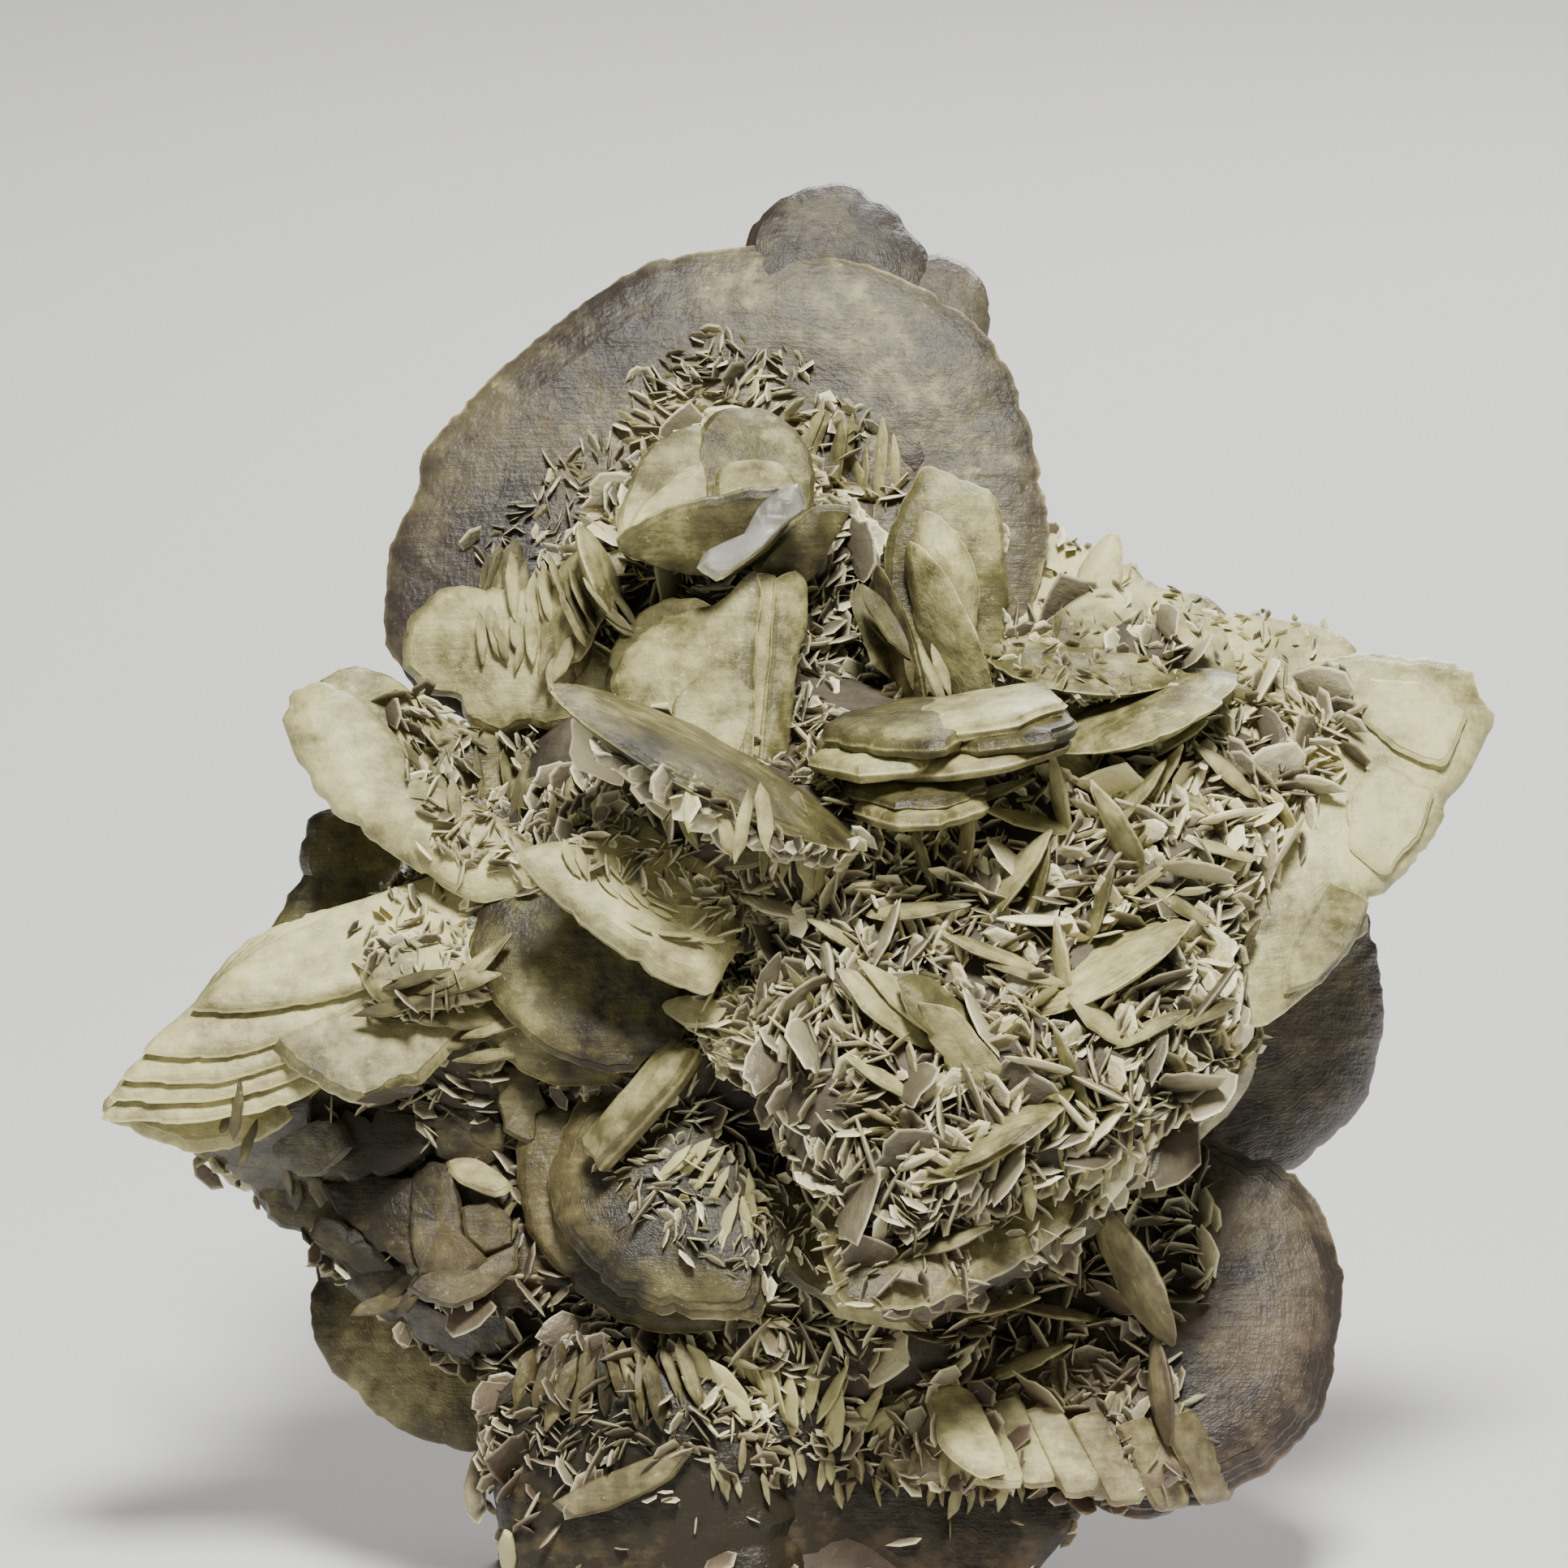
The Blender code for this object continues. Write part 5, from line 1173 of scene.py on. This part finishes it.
def growCrust(name, size, keep):
    tree, sockets = trees[size]
    part = skin.copy()
    bmesh.ops.delete(part, geom=[f for f in part.faces if not keep(f.calc_center_median())], context="FACES")
    weight = part.verts.layers.float.new("crust")
    chosen = part.verts.layers.float[size]
    for vertex in part.verts:
        vertex[weight] = vertex[chosen]
    part.transform(faceToRow)
    bed = bpy.data.meshes.new(name + "Bed")
    part.to_mesh(bed)
    part.free()
    host = bpy.data.objects.new(name + "Bed", bed)
    bpy.context.scene.collection.objects.link(host)
    growing = host.modifiers.new("crustGrowth", "NODES")
    growing.node_group = tree
    for label, value in (("Spacing", crust[size]["spacing"]), ("Density", crust[size]["density"]),
                         ("Smallest", crust[size]["smallest"]), ("Largest", crust[size]["largest"]),
                         ("Tilt", crust["tilt"]), ("Seed", crust[size]["seed"])):
        growing[sockets[label]] = value
    grown = bpy.data.meshes.new_from_object(host.evaluated_get(bpy.context.evaluated_depsgraph_get()))
    bpy.data.objects.remove(host)
    grown.name = name
    # crystals that would reach below the base cut are left out whole
    work = bmesh.new()
    work.from_mesh(grown)
    low = {vertex for vertex in work.verts if vertex.co.z < crust["baseGap"]}
    spread = list(low)
    while spread:
        for edge in spread.pop().link_edges:
            for vertex in edge.verts:
                if vertex not in low:
                    low.add(vertex)
                    spread.append(vertex)
    bmesh.ops.delete(work, geom=list(low), context="VERTS")
    work.to_mesh(grown)
    work.free()
    showPiece(name, grown, gypsum["crustGypsum"])


trees = {}
for size in ("small", "medium", "fine"):
    crystals = bpy.data.collections.new(size + "Crystals")
    bpy.context.scene.collection.children.link(crystals)
    for number, (width, thick, proud) in enumerate(crust["shapes"]):
        crystals.objects.link(makeCrystal(f"{size}Crystal{number}", crust[size]["corners"],
                                          crust[size]["rings"], width, thick, proud))
    trees[size] = crustTree(size, crystals, gypsum["crustGypsum"])

growCrust("crustUpper", "small", lambda p: p.z > 97 and p.y < 14)
growCrust("crustRight", "small", lambda p: p.z <= 97 and p.x > -4 and p.y < 8)
growCrust("crustLeft", "small", lambda p: p.z <= 97 and p.x <= -4 and p.y < 8)
growCrust("crustBack", "small", lambda p: p.y >= (14 if p.z > 97 else 8))
growCrust("bladesInCrust", "medium", lambda p: True)
growCrust("grainsUpper", "fine", lambda p: p.z > 90)
growCrust("grainsLower", "fine", lambda p: p.z <= 90)

for size in trees:
    crystals = bpy.data.collections[size + "Crystals"]
    for crystal in list(crystals.objects):
        bpy.data.objects.remove(crystal)
    bpy.data.collections.remove(crystals)
skin.free()


# Floor, light and camera.

studio = {
    "floor": (0.60, 0.59, 0.57),
    "floorRough": 0.8,
    "floorReach": 4,          # metres from the middle to an edge
    "room": 0.07,
    "lights": [   # name, place, size, watts
        ("keyLight", (0.06, -0.50, 1.00), 0.24, 28),
        ("fillLight", (-0.8, -0.9, 0.45), 0.6, 1.7),
        ("backLight", (0.2, 0.8, 0.6), 0.5, 9)],
    "lit": (0, 0.01, 0.08),   # where the lights point
    "distance": 2.4,          # of the camera
    "sensor": 36,
    "frameWidth": 0.1932,     # how much the picture takes in, at the face
    "aim": (0, 0, 96.6),      # on the rosette's face
}
reach = studio["floorReach"]
floorMesh = bpy.data.meshes.new("floor")
floorMesh.from_pydata([(-reach, -reach, 0), (reach, -reach, 0), (reach, reach, 0), (-reach, reach, 0)], [],
                      [(0, 1, 2, 3)])
floor = bpy.data.objects.new("floor", floorMesh)
bpy.context.scene.collection.objects.link(floor)
paleFloor = bpy.data.materials.new("paleFloor")
paleFloor.use_nodes = True
floorShader = paleFloor.node_tree.nodes["Principled BSDF"]
floorShader.inputs["Base Color"].default_value = (*studio["floor"], 1)
floorShader.inputs["Roughness"].default_value = studio["floorRough"]
floorMesh.materials.append(paleFloor)

for lightName, spot, size, watts in studio["lights"]:
    lamp = bpy.data.lights.new(lightName, "AREA")
    lamp.shape = "SQUARE"
    lamp.size = size
    lamp.energy = watts
    light = bpy.data.objects.new(lightName, lamp)
    light.location = spot
    light.rotation_mode = "QUATERNION"
    light.rotation_quaternion = (Vector(studio["lit"]) - Vector(spot)).to_track_quat("-Z", "Y")
    bpy.context.scene.collection.objects.link(light)
room = bpy.data.worlds.new("softRoom")
room.use_nodes = True
room.node_tree.nodes["Background"].inputs["Color"].default_value = (1, 1, 1, 1)
room.node_tree.nodes["Background"].inputs["Strength"].default_value = studio["room"]
bpy.context.scene.world = room

camera = bpy.data.objects.new("camera", bpy.data.cameras.new("camera"))
bpy.context.scene.collection.objects.link(camera)
camera.data.sensor_width = studio["sensor"]
camera.data.lens = studio["sensor"] * studio["distance"] / studio["frameWidth"]
camera.data.clip_end = 20
aim = faceToRow @ Vector(studio["aim"])
away = (faceToRow.to_3x3() @ Vector((0, 1, 0))).normalized()
camera.location = aim - away * studio["distance"]
camera.rotation_mode = "QUATERNION"
camera.rotation_quaternion = away.to_track_quat("-Z", "Y")
bpy.context.scene.camera = camera
print("studio set")
